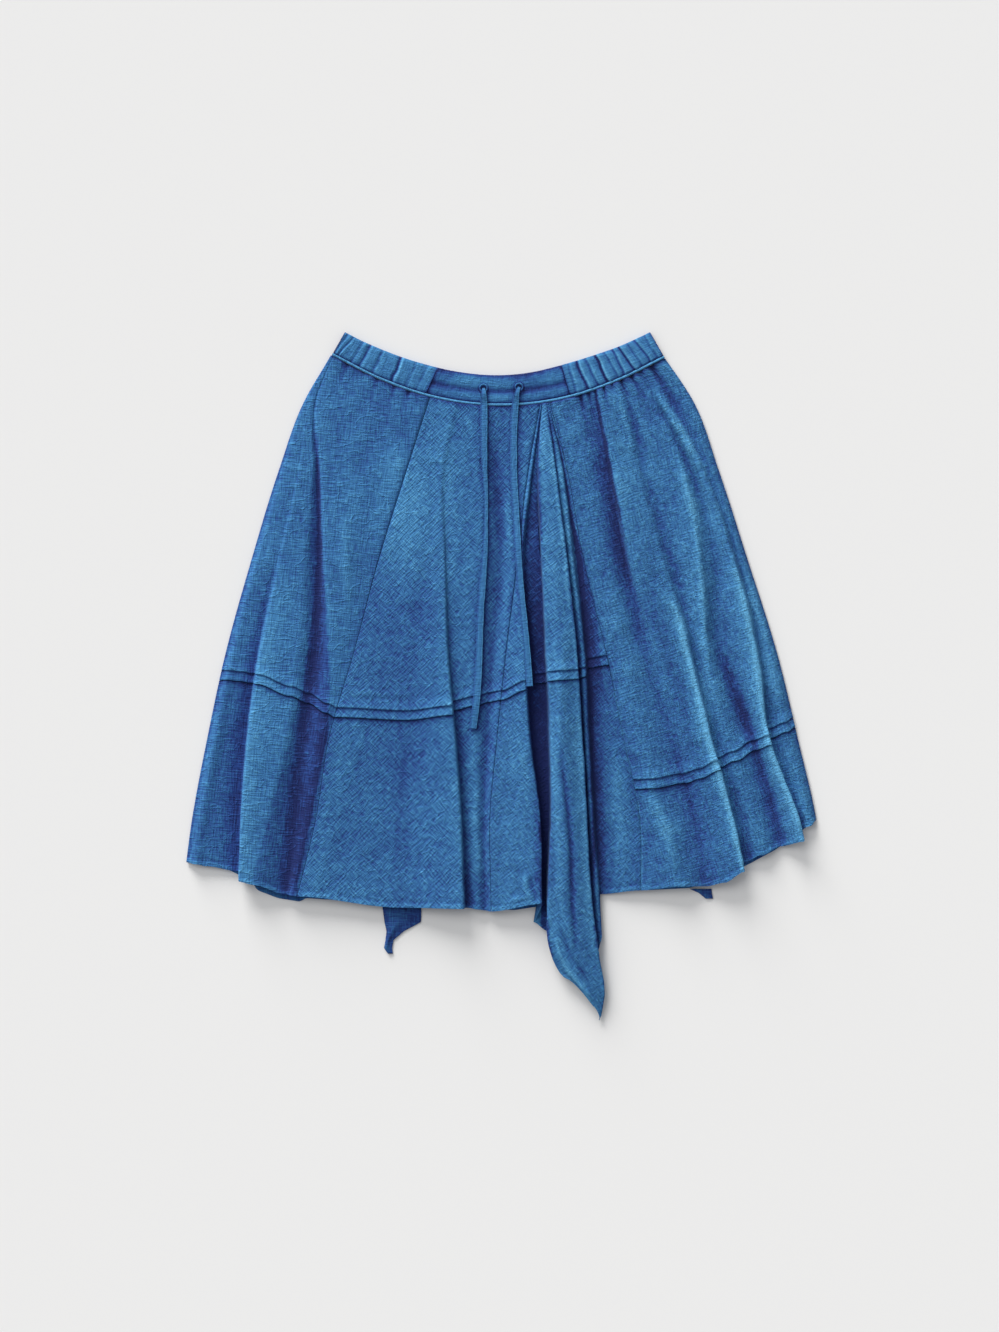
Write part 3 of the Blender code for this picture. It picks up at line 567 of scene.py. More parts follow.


# Bands painted darker between two crisp edges, each given as places across and down: painted shade in deep
# folds, in the narrow gaps beside the tail and under the right gathers; at the lower left they also stand for a
# second layer under the thin cloth.
darkBands = [
    {"amount": -0.8, "first": 430, "last": 905,
     "left": [(315, 440), (317, 500), (317, 560), (314, 600), (309, 640), (303, 690), (293, 760), (278, 888)],
     "right": [(319, 440), (321, 480), (323.5, 560), (327, 610), (331, 680), (328, 736), (298, 884)]},
    {"amount": -0.4, "first": 650, "last": 905,
     "left": [(312, 656), (300, 702), (284, 762), (256, 868), (252, 888)],
     "right": [(312, 656), (300.4, 702), (293, 760), (278, 888)]},
    {"amount": -0.15, "first": 725, "last": 1000,
     "left": [(559, 740), (567, 810), (572, 900), (579, 977)],
     "right": [(580, 740), (587, 880), (597, 940), (601, 990)]},
    {"amount": -1.5, "first": 355, "last": 545,
     "left": [(594, 388), (595.5, 401), (598.7, 418), (603.4, 440), (607, 460), (623, 532)],
     "right": [(597, 388), (599.5, 405), (603, 423), (607.5, 444), (610.5, 462), (624.5, 532)]},
    {"amount": -1.3, "first": 395, "last": 640,
     "left": [(546.5, 415), (552, 450), (557.5, 499), (565.5, 560), (573, 640)],
     "right": [(549.5, 415), (555.5, 450), (560, 499), (568, 560), (576, 640)]},
    {"amount": -1.2, "first": 400, "last": 900,
     "left": [(550, 420), (558.5, 446), (563, 473), (569, 512), (577, 560), (585, 650), (592, 820)],
     "right": [(551.5, 420), (560.5, 446), (565.5, 473), (572, 512), (582, 560), (590, 650), (595, 820)]},
    {"amount": -0.6, "first": 490, "last": 700,
     "left": [(568, 512), (577, 560), (584, 640), (588, 700)],
     "right": [(570, 512), (585, 560), (597, 620), (604, 690)]},
    {"amount": -1.0, "first": 395, "last": 560,
     "left": [(538.6, 420), (537.6, 486), (540.2, 538)],
     "right": [(540.2, 420), (539.4, 486), (542, 538)]},
]
# How soft both edges are across, and how far down each end fades.
darkBandFade = {"left": 2.2, "right": 1.6, "ends": 30}


def darkBandShade(across, down):
    # Full painted shade between both edges, with a soft step at each, and fading at the two ends.
    tone = np.zeros_like(across)
    for layer in darkBands:
        left, right = (np.array(layer[side], float) for side in ("left", "right"))
        pastLeft = across - np.interp(down, left[:, 1], left[:, 0])
        pastRight = np.interp(down, right[:, 1], right[:, 0]) - across
        inside = np.clip(pastLeft / darkBandFade["left"] + 0.5, 0, 1)
        inside = inside * np.clip(pastRight / darkBandFade["right"] + 0.5, 0, 1)
        starts = np.clip((down - layer["first"]) / darkBandFade["ends"], 0, 1)
        stops = np.clip((layer["last"] - down) / darkBandFade["ends"], 0, 1)
        tone += layer["amount"] * inside * (starts * stops)
    return tone


stringShade = {"amount": 0.9, "reach": 2.6, "shift": 1, "past": 3}


def stringTone(across, down):
    # Painted shadow beside each string: the cloth is darker close beside it, and a little further out on the
    # side away from the light.
    tone = np.zeros_like(across)
    for facts in strings.values():
        route = np.array(facts["route"], float)
        middle, wide = (np.interp(down, route[:, 1], route[:, k]) for k in (0, 3))
        off = np.abs(across - middle - stringShade["shift"]) - wide * strap["width"] / 2 / sheet["unit"]
        beside = (down > route[0, 1]) * (down < route[-1, 1] + stringShade["past"])
        tone -= stringShade["amount"] * np.exp(-np.maximum(off, 0) / stringShade["reach"]) * beside
    return tone


def columnWaist(number, share):
    # Where a column of cloth meets the waist seam, found by stepping onto the seam's curve.
    down = 390.0
    for _ in range(12):
        across = (1 - share) * lineAcross(number, down) + share * lineAcross(number + 1, down)
        down = waistSeam(across)
    return across, down


# Creases between the fold lines: how high, how wide and the line each follows, across and down.
creases = {
    "leftHipHollow": (-0.8, 7, [(376, 386), (366, 400), (357, 420), (349, 436)]),
    "leftMiddleHollow": (-0.6, 8, [(380, 418), (372, 440), (362, 460), (351, 484)]),
    "leftBrightSwell": (1.6, 20, [(398, 430), (401, 480), (399, 530), (390, 575)]),
    "leftSlimRidge": (1.0, 5, [(345, 500), (346, 560), (349, 620)]),
    "tuckShadow": (0.5, 2.2, [(337, 689), (360, 693), (380, 694), (418, 694)]),
    "stringHollow": (-1.4, 6, [(491, 430), (496, 465), (499, 500), (501, 530), (502, 560)]),
    "stringRidge": (1.0, 5, [(506, 490), (509, 525), (511, 560)]),
    "tailCrease": (-2.7, 2.7, [
        (558, 725), (563, 774), (567.5, 810), (571.5, 850), (571.5, 900), (576, 940), (580, 975)
    ]),
    "tailRidge": (1.0, 4, [(549, 700), (553, 760), (557, 820), (560, 880), (564, 930)]),
    "godetLowRidge": (1.2, 8, [(611, 735), (617, 770), (621, 800), (621, 850), (626, 889)]),
    "rightLongHollow": (-1.7, 7, [
        (622, 396), (630, 420), (637, 445), (645, 480), (658, 520), (670, 560), (681, 600), (689, 625)
    ]),
    "flapRidgeStart": (1.3, 5, [(658, 588), (672, 605), (681, 622), (686, 645)]),
    "rightSlimRidge": (1.2, 2.6, [
        (676, 449), (684.5, 486), (694.6, 527), (699, 562), (702, 590), (704, 628), (707, 665), (708, 697)
    ]),
    "rightSlimHollow": (-0.7, 3, [(699, 520), (705, 560), (709, 590), (712, 620), (718, 645)]),
    "tailCurl": (2.2, 2.4, [(553, 926), (559, 952), (567, 968), (577, 980), (587, 992), (597, 1008)]),
    "tailCurlHollow": (-1.6, 2.0, [(559, 920), (566, 946), (574, 961), (584, 974), (593, 988)]),
    "hemFrill": (1.8, 3, [(523, 872), (527, 888), (533, 904)]),
    "hemFrillHollow": (-2.0, 2.4, [(529, 874), (532, 890), (537, 904)]),
    "hemFrillCorner": (1.4, 3, [(505, 903), (515, 900), (524, 896)]),
    "gatherRidge": (1.3, 3.2, [(611, 387), (616, 398), (622, 412), (630, 434), (636, 452)]),
    "secondGatherRidge": (1.3, 3.6, [(624, 383), (630, 400), (639, 418), (649, 442), (655, 460)]),
    "hipRidge": (1.9, 4, [
        (644, 384), (660, 400), (671, 416), (683, 433), (691, 451), (698, 463), (711, 476)
    ]),
    "hipShortRidge": (1.4, 4, [(659, 361), (672, 370), (684, 383)]),
    "hipSecondRidge": (1.1, 4.5, [(677, 448), (681, 470), (687, 490), (693, 507), (698, 522), (701, 542)]),
    "sideUpperHollow": (-0.5, 5, [(704, 516), (712, 540), (717, 560), (722, 592)]),
    "sideLowerHollow": (-0.9, 5, [
        (706, 603), (712, 640), (720, 660), (729, 677), (738, 700), (746, 722), (753, 742)
    ]),
    "rightLowRidge": (1.8, 6, [(647, 788), (655, 805), (663, 821), (669, 842), (677, 877)]),
}


def creaseRelief(across, down):
    # Each crease adds a rounded ridge or trough about its line, fading at the line's two ends.
    relief = np.zeros_like(across)
    for height, width, route in creases.values():
        route = np.array(route, float)
        lengths = np.linalg.norm(np.diff(route, axis=0), axis=1)
        along = np.concatenate([[0], np.cumsum(lengths)])
        nearest = np.full(across.shape, 1e9)
        reached = np.zeros(across.shape)
        for start, end, length, before in zip(route[:-1], route[1:], lengths, along[:-1]):
            way = (end - start) / length
            share = np.clip((across - start[0]) * way[0] + (down - start[1]) * way[1], 0, length)
            far = np.hypot(across - start[0] - share * way[0], down - start[1] - share * way[1])
            closer = far < nearest
            nearest = np.where(closer, far, nearest)
            reached = np.where(closer, before + share, reached)
        ends = np.minimum(reached, along[-1] - reached) / (0.3 * along[-1])
        relief += height * bell(nearest, width) * smoothStep(np.clip(ends, 0.05, 1))
    return relief


# The gathers' places across the waist seam, and how deep and how far down they go.
gathers = [
    {"lines": (347, 356, 364, 377, 386, 395, 409, 418), "height": 1.5, "reach": 34},
    {"lines": (580, 588, 595.5, 603, 611, 620, 630, 640, 650), "height": 2.6, "reach": 42},
]
# Each hollow widens down the cloth, and a pinch at its top stays narrow.
gatherForm = {"wide": 2.0, "widen": 0.06, "pinch": 0.8, "pinchWide": 1.1, "pinchReach": 7}


def gatherRelief(waistAcross, below):
    # A hollow at each gather line, uneven in depth and length, dying away down the cloth, and a short
    # narrow pinch at its top.
    relief = np.zeros_like(below)
    for row in gathers:
        for number, line in enumerate(row["lines"]):
            depth = row["height"] * (0.65 + 0.35 * math.sin(2.3 * number + 1))
            reach = row["reach"] * (0.8 + 0.5 * math.sin(1.7 * number))
            off, width = waistAcross - line, gatherForm["wide"] + below * gatherForm["widen"]
            relief -= depth * bell(off, width) * np.exp(-below / reach)
            pinch = bell(off, gatherForm["pinchWide"]) * np.exp(-below / gatherForm["pinchReach"])
            relief -= gatherForm["pinch"] * depth * pinch
    return relief


# The tucks' depth, rise and drop, the hem's turned edge and its stitched groove, and the painted shade and
# highlights on them.
tuckFold = {"depth": 9.6, "rise": 1.5, "drop": 0.9, "lip": 0.8, "closeRows": 22}
hemFold = {"rise": 0.45, "wide": 4.5, "groove": 0.35, "stitch": 5.6, "grooveWide": 0.9}
trimTone = {
    "lip": 0.35, "lipWide": 1.2, "under": 1.1, "underReach": 1.5, "waist": 1.4, "waistReach": 1.6,
    "tier": 1.1, "tierReach": 2.2, "hem": 0.5,
}


def tuckRelief(above):
    # Two shingles: each swells to its lower edge, rounds over and drops to the cloth below it.
    relief = np.zeros_like(above)
    for edge in (0.0, tuckFold["depth"]):
        place = above - edge
        body = tuckFold["rise"] * np.clip(1 - place / (tuckFold["depth"] - tuckFold["drop"]), 0, 1) ** 0.8
        lip = np.sqrt(np.clip(1 - (1 - np.clip(place, 0, tuckFold["lip"]) / tuckFold["lip"]) ** 2, 0, 1))
        relief = np.where(place >= 0, np.maximum(relief * (place < 0), body * (0.35 + 0.65 * lip)), relief)
    return relief


def upperRows(numbers, shares, tuck):
    # From just under the piping to the tucks' lower edge: even rows, then close ones over the two shingles.
    across, seam = np.array([columnWaist(n, s) for n, s in zip(numbers, shares)]).T
    slope = waistSeam(across + 1) - waistSeam(across)
    top = seam + (cloth["piping"] / 2 + cloth["seamGap"]) / sheet["unit"] * np.hypot(1, slope)
    depth, close = tuckFold["depth"], tuckFold["closeRows"]
    steps = math.ceil(np.percentile(tuck - top - close, 80) * sheet["unit"] / cloth["step"])
    body = np.linspace(0, 1, steps + 1)[None, :] * (tuck - close - top)[:, None] + top[:, None]
    aboutUpperEdge = depth + np.array([6.5, 4, 2, 0.8, 0.35, 0.1, 0, -0.15, -0.9, -2.2])
    near = np.concatenate([[20.5, depth * 2 - 0.6], aboutUpperEdge, [5.6, 3.8, 2, 0.8, 0.35, 0.1, 0]])
    down = np.concatenate([body, tuck[:, None] - near], axis=1)
    above = tuck[:, None] - down
    # Painted highlights on the two lips; painted shadow under the upper tuck's edge and under the piping.
    wide = trimTone["lipWide"]
    lips = bell(above - depth - wide, wide) + bell(above - wide, wide)
    under = np.where(above < depth, np.exp(-(depth - above) / trimTone["underReach"]), 0)
    waist = np.exp(-(down - top[:, None]) / trimTone["waistReach"])
    tone = trimTone["lip"] * lips - trimTone["under"] * under - trimTone["waist"] * waist
    return down, tuckRelief(above), tone


def lowerRows(tuck, hem):
    # From just under the tucks to the hem, which is turned up and stitched along a fine groove.
    top = tuck + cloth["tierGap"]
    steps = math.ceil(np.percentile(hem - top, 75) * sheet["unit"] / cloth["step"])
    ends = np.array([0.45, 0.75, 0.92, 1.0])
    share = np.concatenate([np.linspace(0, 1, steps + 1)[:-1], 1 - (1 - ends) / steps])
    down = share[None, :] * (hem - top)[:, None] + top[:, None]
    fromHem = (hem[:, None] - down) * sheet["unit"]
    groove = hemFold["groove"] * bell(fromHem - hemFold["stitch"], hemFold["grooveWide"])
    relief = hemFold["rise"] * np.exp(-((fromHem / hemFold["wide"]) ** 4)) - groove
    # Painted shadow at the tier's top under the tucks; the raised hem edge painted paler as a highlight, its
    # groove darker.
    tier = np.exp(-(down - top[:, None]) / trimTone["tierReach"])
    return down, relief, trimTone["hem"] * relief - trimTone["tier"] * tier


def wrinkleRelief(across, down):
    # Broad swells, a few sharp creases where the hills pass through nothing, and a fine unevenness.
    x, y = across * sheet["unit"], down * sheet["unit"]
    along, cross = x + 0.25 * y, y - 0.2 * x
    soft = 0.9 * softNoise(along * 1.9, cross, 34, 3) + 0.55 * softNoise(x, y * 1.3, 15, 5)
    sharp = np.maximum(ridgeNoise(along, cross * 1.5, 19, 8) - 0.55, 0)
    sharp += 0.7 * np.maximum(ridgeNoise(cross * 1.2, along, 11, 12) - 0.6, 0)
    return soft + sharp + 0.16 * softNoise(x, y * 2.1, 5.5, 21)


# Each panel runs from one fold line to another; turn is how far its grain is turned, wrinkle how strong its
# fine relief is, and cuts give the width, length and area of its upper and lower sheet.
frontPieces = {
    "front_side": {
        "first": "sideLeft", "last": "seamLeft", "turn": -4, "wrinkle": 0.30,
        "looks": {"upper": "straightVoile", "lower": "straightVoile"},
        "cuts": {"upper": (0.23, 0.40, 0.046), "lower": (0.17, 0.21, 0.026)},
    },
    "front_centre": {
        "first": "seamLeft", "last": "seamGodetLeft", "turn": 45, "wrinkle": 0.34,
        "looks": {"upper": "biasVoile", "lower": "biasVoile"},
        "cuts": {"upper": (0.19, 0.33, 0.049), "lower": (0.23, 0.21, 0.040)},
    },
    "godet": {
        "first": "seamGodetLeft", "last": "seamGodetRight", "turn": 38, "wrinkle": 0.40,
        "looks": {"upper": "biasVoile", "lower": "crinkledVoile"},
        "cuts": {"upper": (0.18, 0.31, 0.028), "lower": (0.26, 0.35, 0.052)},
    },
    "front_right": {
        "first": "seamGodetRight", "last": "sideRight", "turn": 18, "wrinkle": 0.55,
        "looks": {"upper": "crinkledVoile", "lower": "crinkledVoile"},
        "cuts": {"upper": (0.24, 0.44, 0.075), "lower": (0.22, 0.11, 0.0235)},
    },
}
# Beside a seam the cloth is sunk and its wrinkles are calmed, over this many columns; least and most
# bound the wrinkles, so that none reaches the floor.
seamForm = {"columns": 1.6, "sunk": 0.35, "calm": 0.7, "least": 1.9, "most": 4}
# This seam closes and stops showing below the tucks; there its edge columns are painted paler, a painted
# highlight over the dark line its rim's shading leaves.
fadingSeam = {"line": "seamGodetRight", "start": 680, "over": 20, "gap": 0.04, "tone": 0.45, "columns": 0.7}
# How much the gathers and the fine relief show in the painted shade: darker in hollows, paler on ridges.
reliefTone = {"gathered": 0.6, "detail": 0.4}


def pieceColumns(first, last):
    # Columns of cloth from one fold line to another, closer where the cloth stands steeply.
    columns = []
    for number in range(lineNamed[first], lineNamed[last]):
        down = np.linspace(420, min(foldLines[number][5], foldLines[number + 1][5]), 8)
        wide = (lineAcross(number + 1, down) - lineAcross(number, down)) * sheet["unit"]
        tall = lineHeight(number + 1, down) - lineHeight(number, down)
        count = max(4, math.ceil(np.percentile(np.hypot(wide, tall), 70) / cloth["step"]))
        columns += [(number, step / count) for step in range(count)]
    columns.append((lineNamed[last] - 1, 1.0))
    numbers, shares = zip(*columns)
    return np.array(numbers), np.array(shares)


def clothMiddle(numbers, shares, down):
    # Between two fold lines the cloth's height passes smoothly over, and each crest's lean shears it.
    place = np.zeros(down.shape + (3,))
    gathered = np.zeros(down.shape)
    for number in np.unique(numbers):
        here = numbers == number
        share, at = shares[here][:, None], down[here]
        rise = smoothStep(share)
        leanLeft, leanRight = lineRoll(number, at), lineRoll(number + 1, at)
        across = (1 - share) * (lineAcross(number, at) - leanLeft)
        across = across + share * (lineAcross(number + 1, at) - leanRight)
        across = across + (1 - rise) * leanLeft + rise * leanRight
        height = (1 - rise) * lineHeight(number, at) + rise * lineHeight(number + 1, at)
        waistAcross, waistDown = columnWaist(number, share)
        gathered[here] = gatherRelief(np.broadcast_to(waistAcross, at.shape), np.maximum(at - waistDown, 0))
        place[here] = np.stack([across, at, height + gathered[here]], axis=-1)
    return place, gathered


def wovenGrain(place, turn):
    # Places on the flat cloth: its true length across, measured over the folds, turned to its grain.
    x, y = place[..., 0] * sheet["unit"], place[..., 1] * sheet["unit"]
    steps = np.hypot(np.diff(x, axis=0, prepend=0), np.diff(place[..., 2], axis=0, prepend=place[:1, :, 2]))
    woven = np.cumsum(steps, axis=0)
    cos, sin = math.cos(math.radians(turn)), math.sin(math.radians(turn))
    return np.stack([woven * cos - y * sin, woven * sin + y * cos], axis=-1)


def frontTier(name, tier, facts):
    # One panel's tier: a middle surface, raised by its creases, wrinkles and tucks, with two faces on it.
    numbers, shares = pieceColumns(facts["first"], facts["last"])
    rise = smoothStep(shares)
    tucks, hems = (np.array([fold[k] for fold in foldLines], float) for k in (4, 5))
    if facts["first"] == "seamGodetRight":
        tucks[lineNamed["seamGodetRight"]] = rightPanelTuck
    tuck, hem = (edge[numbers] * (1 - rise) + edge[numbers + 1] * rise for edge in (tucks, hems))
    down, relief, trim = upperRows(numbers, shares, tuck) if tier == "upper" else lowerRows(tuck, hem)
    place, gathered = clothMiddle(numbers, shares, down)
    across = place[..., 0]
    middle = onSheet(across, down, place[..., 2])
    normal = gridNormals(middle)
    normal[:, [0, -1], 1] = 0
    normal /= np.linalg.norm(normal, axis=-1, keepdims=True)

    fromLeft = np.arange(len(numbers))[:, None] * np.ones_like(down)
    fromRight = fromLeft[::-1]
    fade = smoothStep(np.clip((down - fadingSeam["start"]) / fadingSeam["over"], 0, 1))
    leftFade, rightFade = (fade * (facts[side] == fadingSeam["line"]) for side in ("first", "last"))
    near = seamForm["columns"]
    sunk = bell(fromLeft, near) * (1 - leftFade) + bell(fromRight, near) * (1 - rightFade)
    calm = 1 - seamForm["calm"] * bell(np.minimum(fromLeft, fromRight), near)
    detail = creaseRelief(across, down) + facts["wrinkle"] * wrinkleRelief(across, down)
    detail = detail * calm - seamForm["sunk"] * sunk
    detail = np.clip(detail, seamForm["least"] - place[..., 2], seamForm["most"])
    gapLeft, gapRight = (cloth["seamGap"] * (1 - f) + fadingSeam["gap"] * f for f in (leftFade, rightFade))
    middle[0, :, 0] += gapLeft[0] / 2
    middle[-1, :, 0] -= gapRight[-1] / 2
    lift = cloth["wall"] / 2 + detail
    outer = middle + normal * lift[..., None]
    outer[..., 2] += relief
    inner = middle + normal * (lift - cloth["shell"])[..., None]

    # Painted shade and highlights: the hollows', the accents', the dark bands' and the strings', then the
    # relief's and the trim's.
    shade = sum(tone(across, down) for tone in (hollowShadeAndHighlight, accentTone, darkBandShade, stringTone))
    shade += reliefTone["gathered"] * gathered + reliefTone["detail"] * detail + trim
    narrow = fadingSeam["columns"]
    shade += fadingSeam["tone"] * (leftFade * bell(fromLeft, narrow) + rightFade * bell(fromRight, narrow))
    node, (width, length, area) = f"{name}_{tier}", facts["cuts"][tier]
    grain = wovenGrain(place, facts["turn"])
    look = facts["looks"][tier]
    piece = closedCloth(node + "_cloth", outer, inner, grain, shade, look, node)
    print(f"stage: {node}, {len(piece.data.polygons)} faces")


for name, facts in frontPieces.items():
    for tier in ("upper", "lower"):
        frontTier(name, tier, facts)

# The back and its corners

backHem = [
    (187, 861), (225, 868), (252, 881), (257, 890), (278, 898), (300, 901.5), (306, 898), (320, 899),
    (381, 903), (422, 906), (470, 908), (515, 910), (560, 903), (600, 892), (650, 890), (689, 888),
    (712, 882), (745, 866), (775, 850), (816, 820),
]
backPanel = {
    "columns": 220, "rows": 200, "wall": 1.15, "inset": 0.4, "overlap": 0.3, "inside": 0.02,
    "cut": (0.66, 0.55), "area": 0.285,
}


def makeBack():
    # Columns fan out from the waist seam to the hem, between the two side edges.
    hem = np.array(backHem, float)
    share = np.linspace(0, 1, backPanel["columns"])
    hemAcross = hem[0, 0] + (hem[-1, 0] - hem[0, 0]) * share
    hemDown = np.interp(hemAcross, hem[:, 0], hem[:, 1])
    last = len(foldLines) - 1
    leftWaist, rightWaist = columnWaist(0, 0.0)[0], columnWaist(last - 1, 1.0)[0]
    top = waistSeam(leftWaist * (1 - share) + rightWaist * share) - backPanel["overlap"]
    rows = np.linspace(0, 1, backPanel["rows"])
    down = top[:, None] + (hemDown - top)[:, None] * rows
    left, right = lineAcross(0, down) + backPanel["inset"], lineAcross(last, down) - backPanel["inset"]
    across = left * (1 - share[:, None]) + right * share[:, None]
    across += (hemAcross - across[:, -1])[:, None] * rows**3
    fade = np.minimum(1, 6 * np.minimum(share, 1 - share))[:, None]
    lines = 0.10 * softNoise(across * 2.2, down, 30, 31) + 0.06 * softNoise(across, down, 9, 33)
    outer = onSheet(across, down, backPanel["wall"] - 0.1 + fade * lines)
    inner = onSheet(across, down, backPanel["inside"] + fade * np.abs(lines))
    grain = np.stack([across, down], axis=-1) * sheet["unit"]
    shade = 2 * lines - 0.2
    piece = closedCloth("back_cloth", outer, inner, grain, shade, "straightVoile", "back")
    print("stage: back")


makeBack()

# Rows of each corner: how far down, its left and right edges, and how high its fold stands.
backCorners = {
    "back_corner_left": {
        "rows": [(906.8, 382.5, 421.5, 3.4), (922, 384.5, 421, 4.2), (931, 386.5, 404, 4.0),
                 (940, 385.5, 393.5, 3.6), (948, 384, 392, 3.0), (953.5, 388, 393, 2.0)],
        "cut": (0.041, 0.05), "area": 0.0014, "steps": (26, 40),
    },
    "back_corner_right": {
        "rows": [(888.8, 689.5, 711.5, 2.4), (893, 699, 711.8, 2.6), (898.5, 705.5, 713, 2.0)],
        "cut": (0.024, 0.0105), "area": 0.00018, "steps": (18, 14),
    },
}
cornerFold = {"across": (0, 0.15, 0.35, 0.6, 1), "high": (0, 0.9, 1.0, 0.25, 0), "edge": 1.2, "wall": 1.1}
# Painted on each corner: its raised fold paler as a painted highlight, and the whole corner darker as painted
# shade.
cornerTone = {"lift": 0.4, "all": -0.9}


def makeCorner(node, facts):
    # Straight across each row, with one soft fold a third of the way over.
    rows = np.array(facts["rows"], float)
    columns, count = facts["steps"]
    levels = np.linspace(rows[0, 0], rows[-1, 0], count)
    left, right, high = (np.interp(levels, rows[:, 0], rows[:, k]) for k in (1, 2, 3))
    share = np.linspace(0, 1, columns)[:, None]
    across = left * (1 - share) + right * share
    down, lift = (
        np.broadcast_to(part, across.shape)
        for part in (levels, np.interp(share, cornerFold["across"], cornerFold["high"]))
    )
    outer = onSheet(across, down, cornerFold["edge"] + (high - cornerFold["edge"]) * lift)
    inner = outer - np.array([0, 0, cornerFold["wall"]])
    grain = np.stack([across, down], axis=-1) * sheet["unit"]
    shade = cornerTone["lift"] * lift + cornerTone["all"]
    piece = closedCloth(node + "_cloth", outer, inner, grain, shade, "straightVoile", node)


for node, facts in backCorners.items():
    makeCorner(node, facts)
print("stage: back corners")

# The waistband

# Its top edge across and down, and how far across each place meets the waist seam.
bandPlaces = {
    "leftEnd": (345, 332.5, 332.5), "leftElastic": (367, 343.5, 353), "leftElasticEnd": (402, 357.5, 391),
    "flatStart": (438, 368, 426), "leftString": (470, 373.8, 465), "middle": (500, 375.5, 500),
    "rightString": (530, 372.8, 534), "flatEnd": (561, 365.5, 570), "rightElastic": (594, 355.5, 606),
    "rightElasticEnd": (622, 345.5, 638), "rightEnd": (650, 332.5, 664),
}
bandOrder = list(bandPlaces)
eyelets = {"eyelet_left": (483.5, 388.5), "eyelet_right": (519, 387.5)}
band = {"wall": 2.6, "floor": 2.9, "rows": 48, "round": 1.1, "inside": 0.02, "grain": (33, 30)}
# The band's painted shade and highlights: paler where its relief rises, darker along its lower edge, at its
# ends and beside the strings, and each eyelet's painted shade.
bandTone = {"rise": 0.6, "foot": 1.3, "footWide": 0.05, "ends": 1.9, "endColumns": 1.7, "strings": 0.8}
eyeletTone = {"hole": 2.0, "holeWide": 3.1, "ring": 0.9, "ringAt": 4.9, "ringWide": 0.8}


def bandEdges(places):
    # The band's top edge and the waist seam below it, both read smoothly along the listed places.
    table = np.array(list(bandPlaces.values()), float)
    counted = np.arange(len(table))
    across, down, bottom = (readSmooth(counted, table[:, k], places) for k in range(3))
    return onSheet(across, down, 0), onSheet(bottom, waistSeam(bottom), 0)


def eyeletShade(across, down):
    # Painted shade in each hole, and a painted shadow in a ring about its thread.
    tone = np.zeros_like(across)
    for place in eyelets.values():
        far = np.hypot(across - place[0], down - place[1])
        tone -= eyeletTone["hole"] * np.exp(-((far / eyeletTone["holeWide"]) ** 4))
        tone -= eyeletTone["ring"] * bell(far - eyeletTone["ringAt"], eyeletTone["ringWide"])
    return tone


def bandPiece(node, facts):
    # A slab between the band's two edges: its outer face rounded at both edges and raised by its relief.
    places = np.linspace(bandOrder.index(facts["first"]), bandOrder.index(facts["last"]), facts["columns"])
    top, bottom = bandEdges(places)
    along = np.gradient(top, axis=0)
    along /= np.linalg.norm(along, axis=1, keepdims=True)
    for edge in (top, bottom):
        edge[0] += along[0] * cloth["seamGap"] / 2
        edge[-1] -= along[-1] * cloth["seamGap"] / 2
    inset = (cloth["piping"] / 2 + cloth["seamGap"]) / np.linalg.norm(top - bottom, axis=1)
    turn = 0.5 - 0.5 * np.cos(np.linspace(0, math.pi, band["rows"]))
    share = (turn * (1 - inset)[:, None])[..., None]
    flat = top[:, None] * (1 - share) + bottom[:, None] * share
    across, high = np.broadcast_arrays(np.linspace(0, 1, facts["columns"])[:, None], turn[None, :])
    rise, lines = facts["relief"](across, high)
    outer, inner = flat.copy(), flat.copy()
    outer[..., 2] = facts["floor"] + band["wall"] - band["round"] * np.abs(2 * high - 1) ** 8 + rise
    inner[..., 2] = facts["floor"] + band["inside"]
    alongGrain, downGrain = band["grain"]
    grain = np.stack(np.broadcast_arrays(places[:, None] * alongGrain, high * downGrain), axis=-1)
    counted = np.arange(facts["columns"])
    fromEnd = np.minimum(counted, counted[::-1])[:, None]
    # Painted shade and highlights on the band.
    tone = bandTone["rise"] * rise + lines - bandTone["foot"] * bell(high - 1, bandTone["footWide"])
    tone = tone - bandTone["ends"] * np.exp(-fromEnd / bandTone["endColumns"])
    sheetAcross = flat[..., 0] / sheet["unit"] + sheet["middleAcross"]
    sheetDown = sheet["middleDown"] - flat[..., 1] / sheet["unit"]
    tone += bandTone["strings"] * stringTone(sheetAcross, sheetDown) + eyeletShade(sheetAcross, sheetDown)
    piece = closedCloth(node + "_cloth", outer, inner, grain, tone, "bandCloth", node)


# Bell curves over the band's height, or across each ruche: how much, where and how wide.
flatBandBells = {
    "rise": [(0.35, 0.3, 0.2), (-0.75, 0.58, 0.11)],
    "lines": [(0.2, 0.8, 0.06), (-0.5, 0.58, 0.09), (-1.0, 0, 0.08), (-0.5, 0, 0.25)],
}
rucheBells = {
    "rise": [(-1, 0, 0.017), (0.35, 0.035, 0.022)],
    "lines": [(-0.9, 0, 0.009), (0.8, 0.023, 0.009)],
}
# Each ruche: how far along the piece it lies, how deep, and how far it leans over the band's height.
leftRuches = [
    (0.035, 0.45, -0.05), (0.117, 0.6, -0.07), (0.30, 0.4, 0.0), (0.385, 0.7, 0.01), (0.50, 0.5, 0.02),
    (0.665, 1.15, 0.0), (0.80, 0.35, 0.0), (0.90, 0.35, 0.0),
]
rightRuches = [
    (0.06, 0.5, 0.0), (0.16, 1.4, 0.02), (0.25, 0.7, 0.03), (0.35, 1.9, 0.01), (0.45, 0.5, 0.02),
    (0.53, 0.9, -0.02), (0.62, 1.3, 0.02), (0.72, 0.5, 0.0), (0.82, 0.9, 0.02), (0.92, 0.5, 0.0),
]


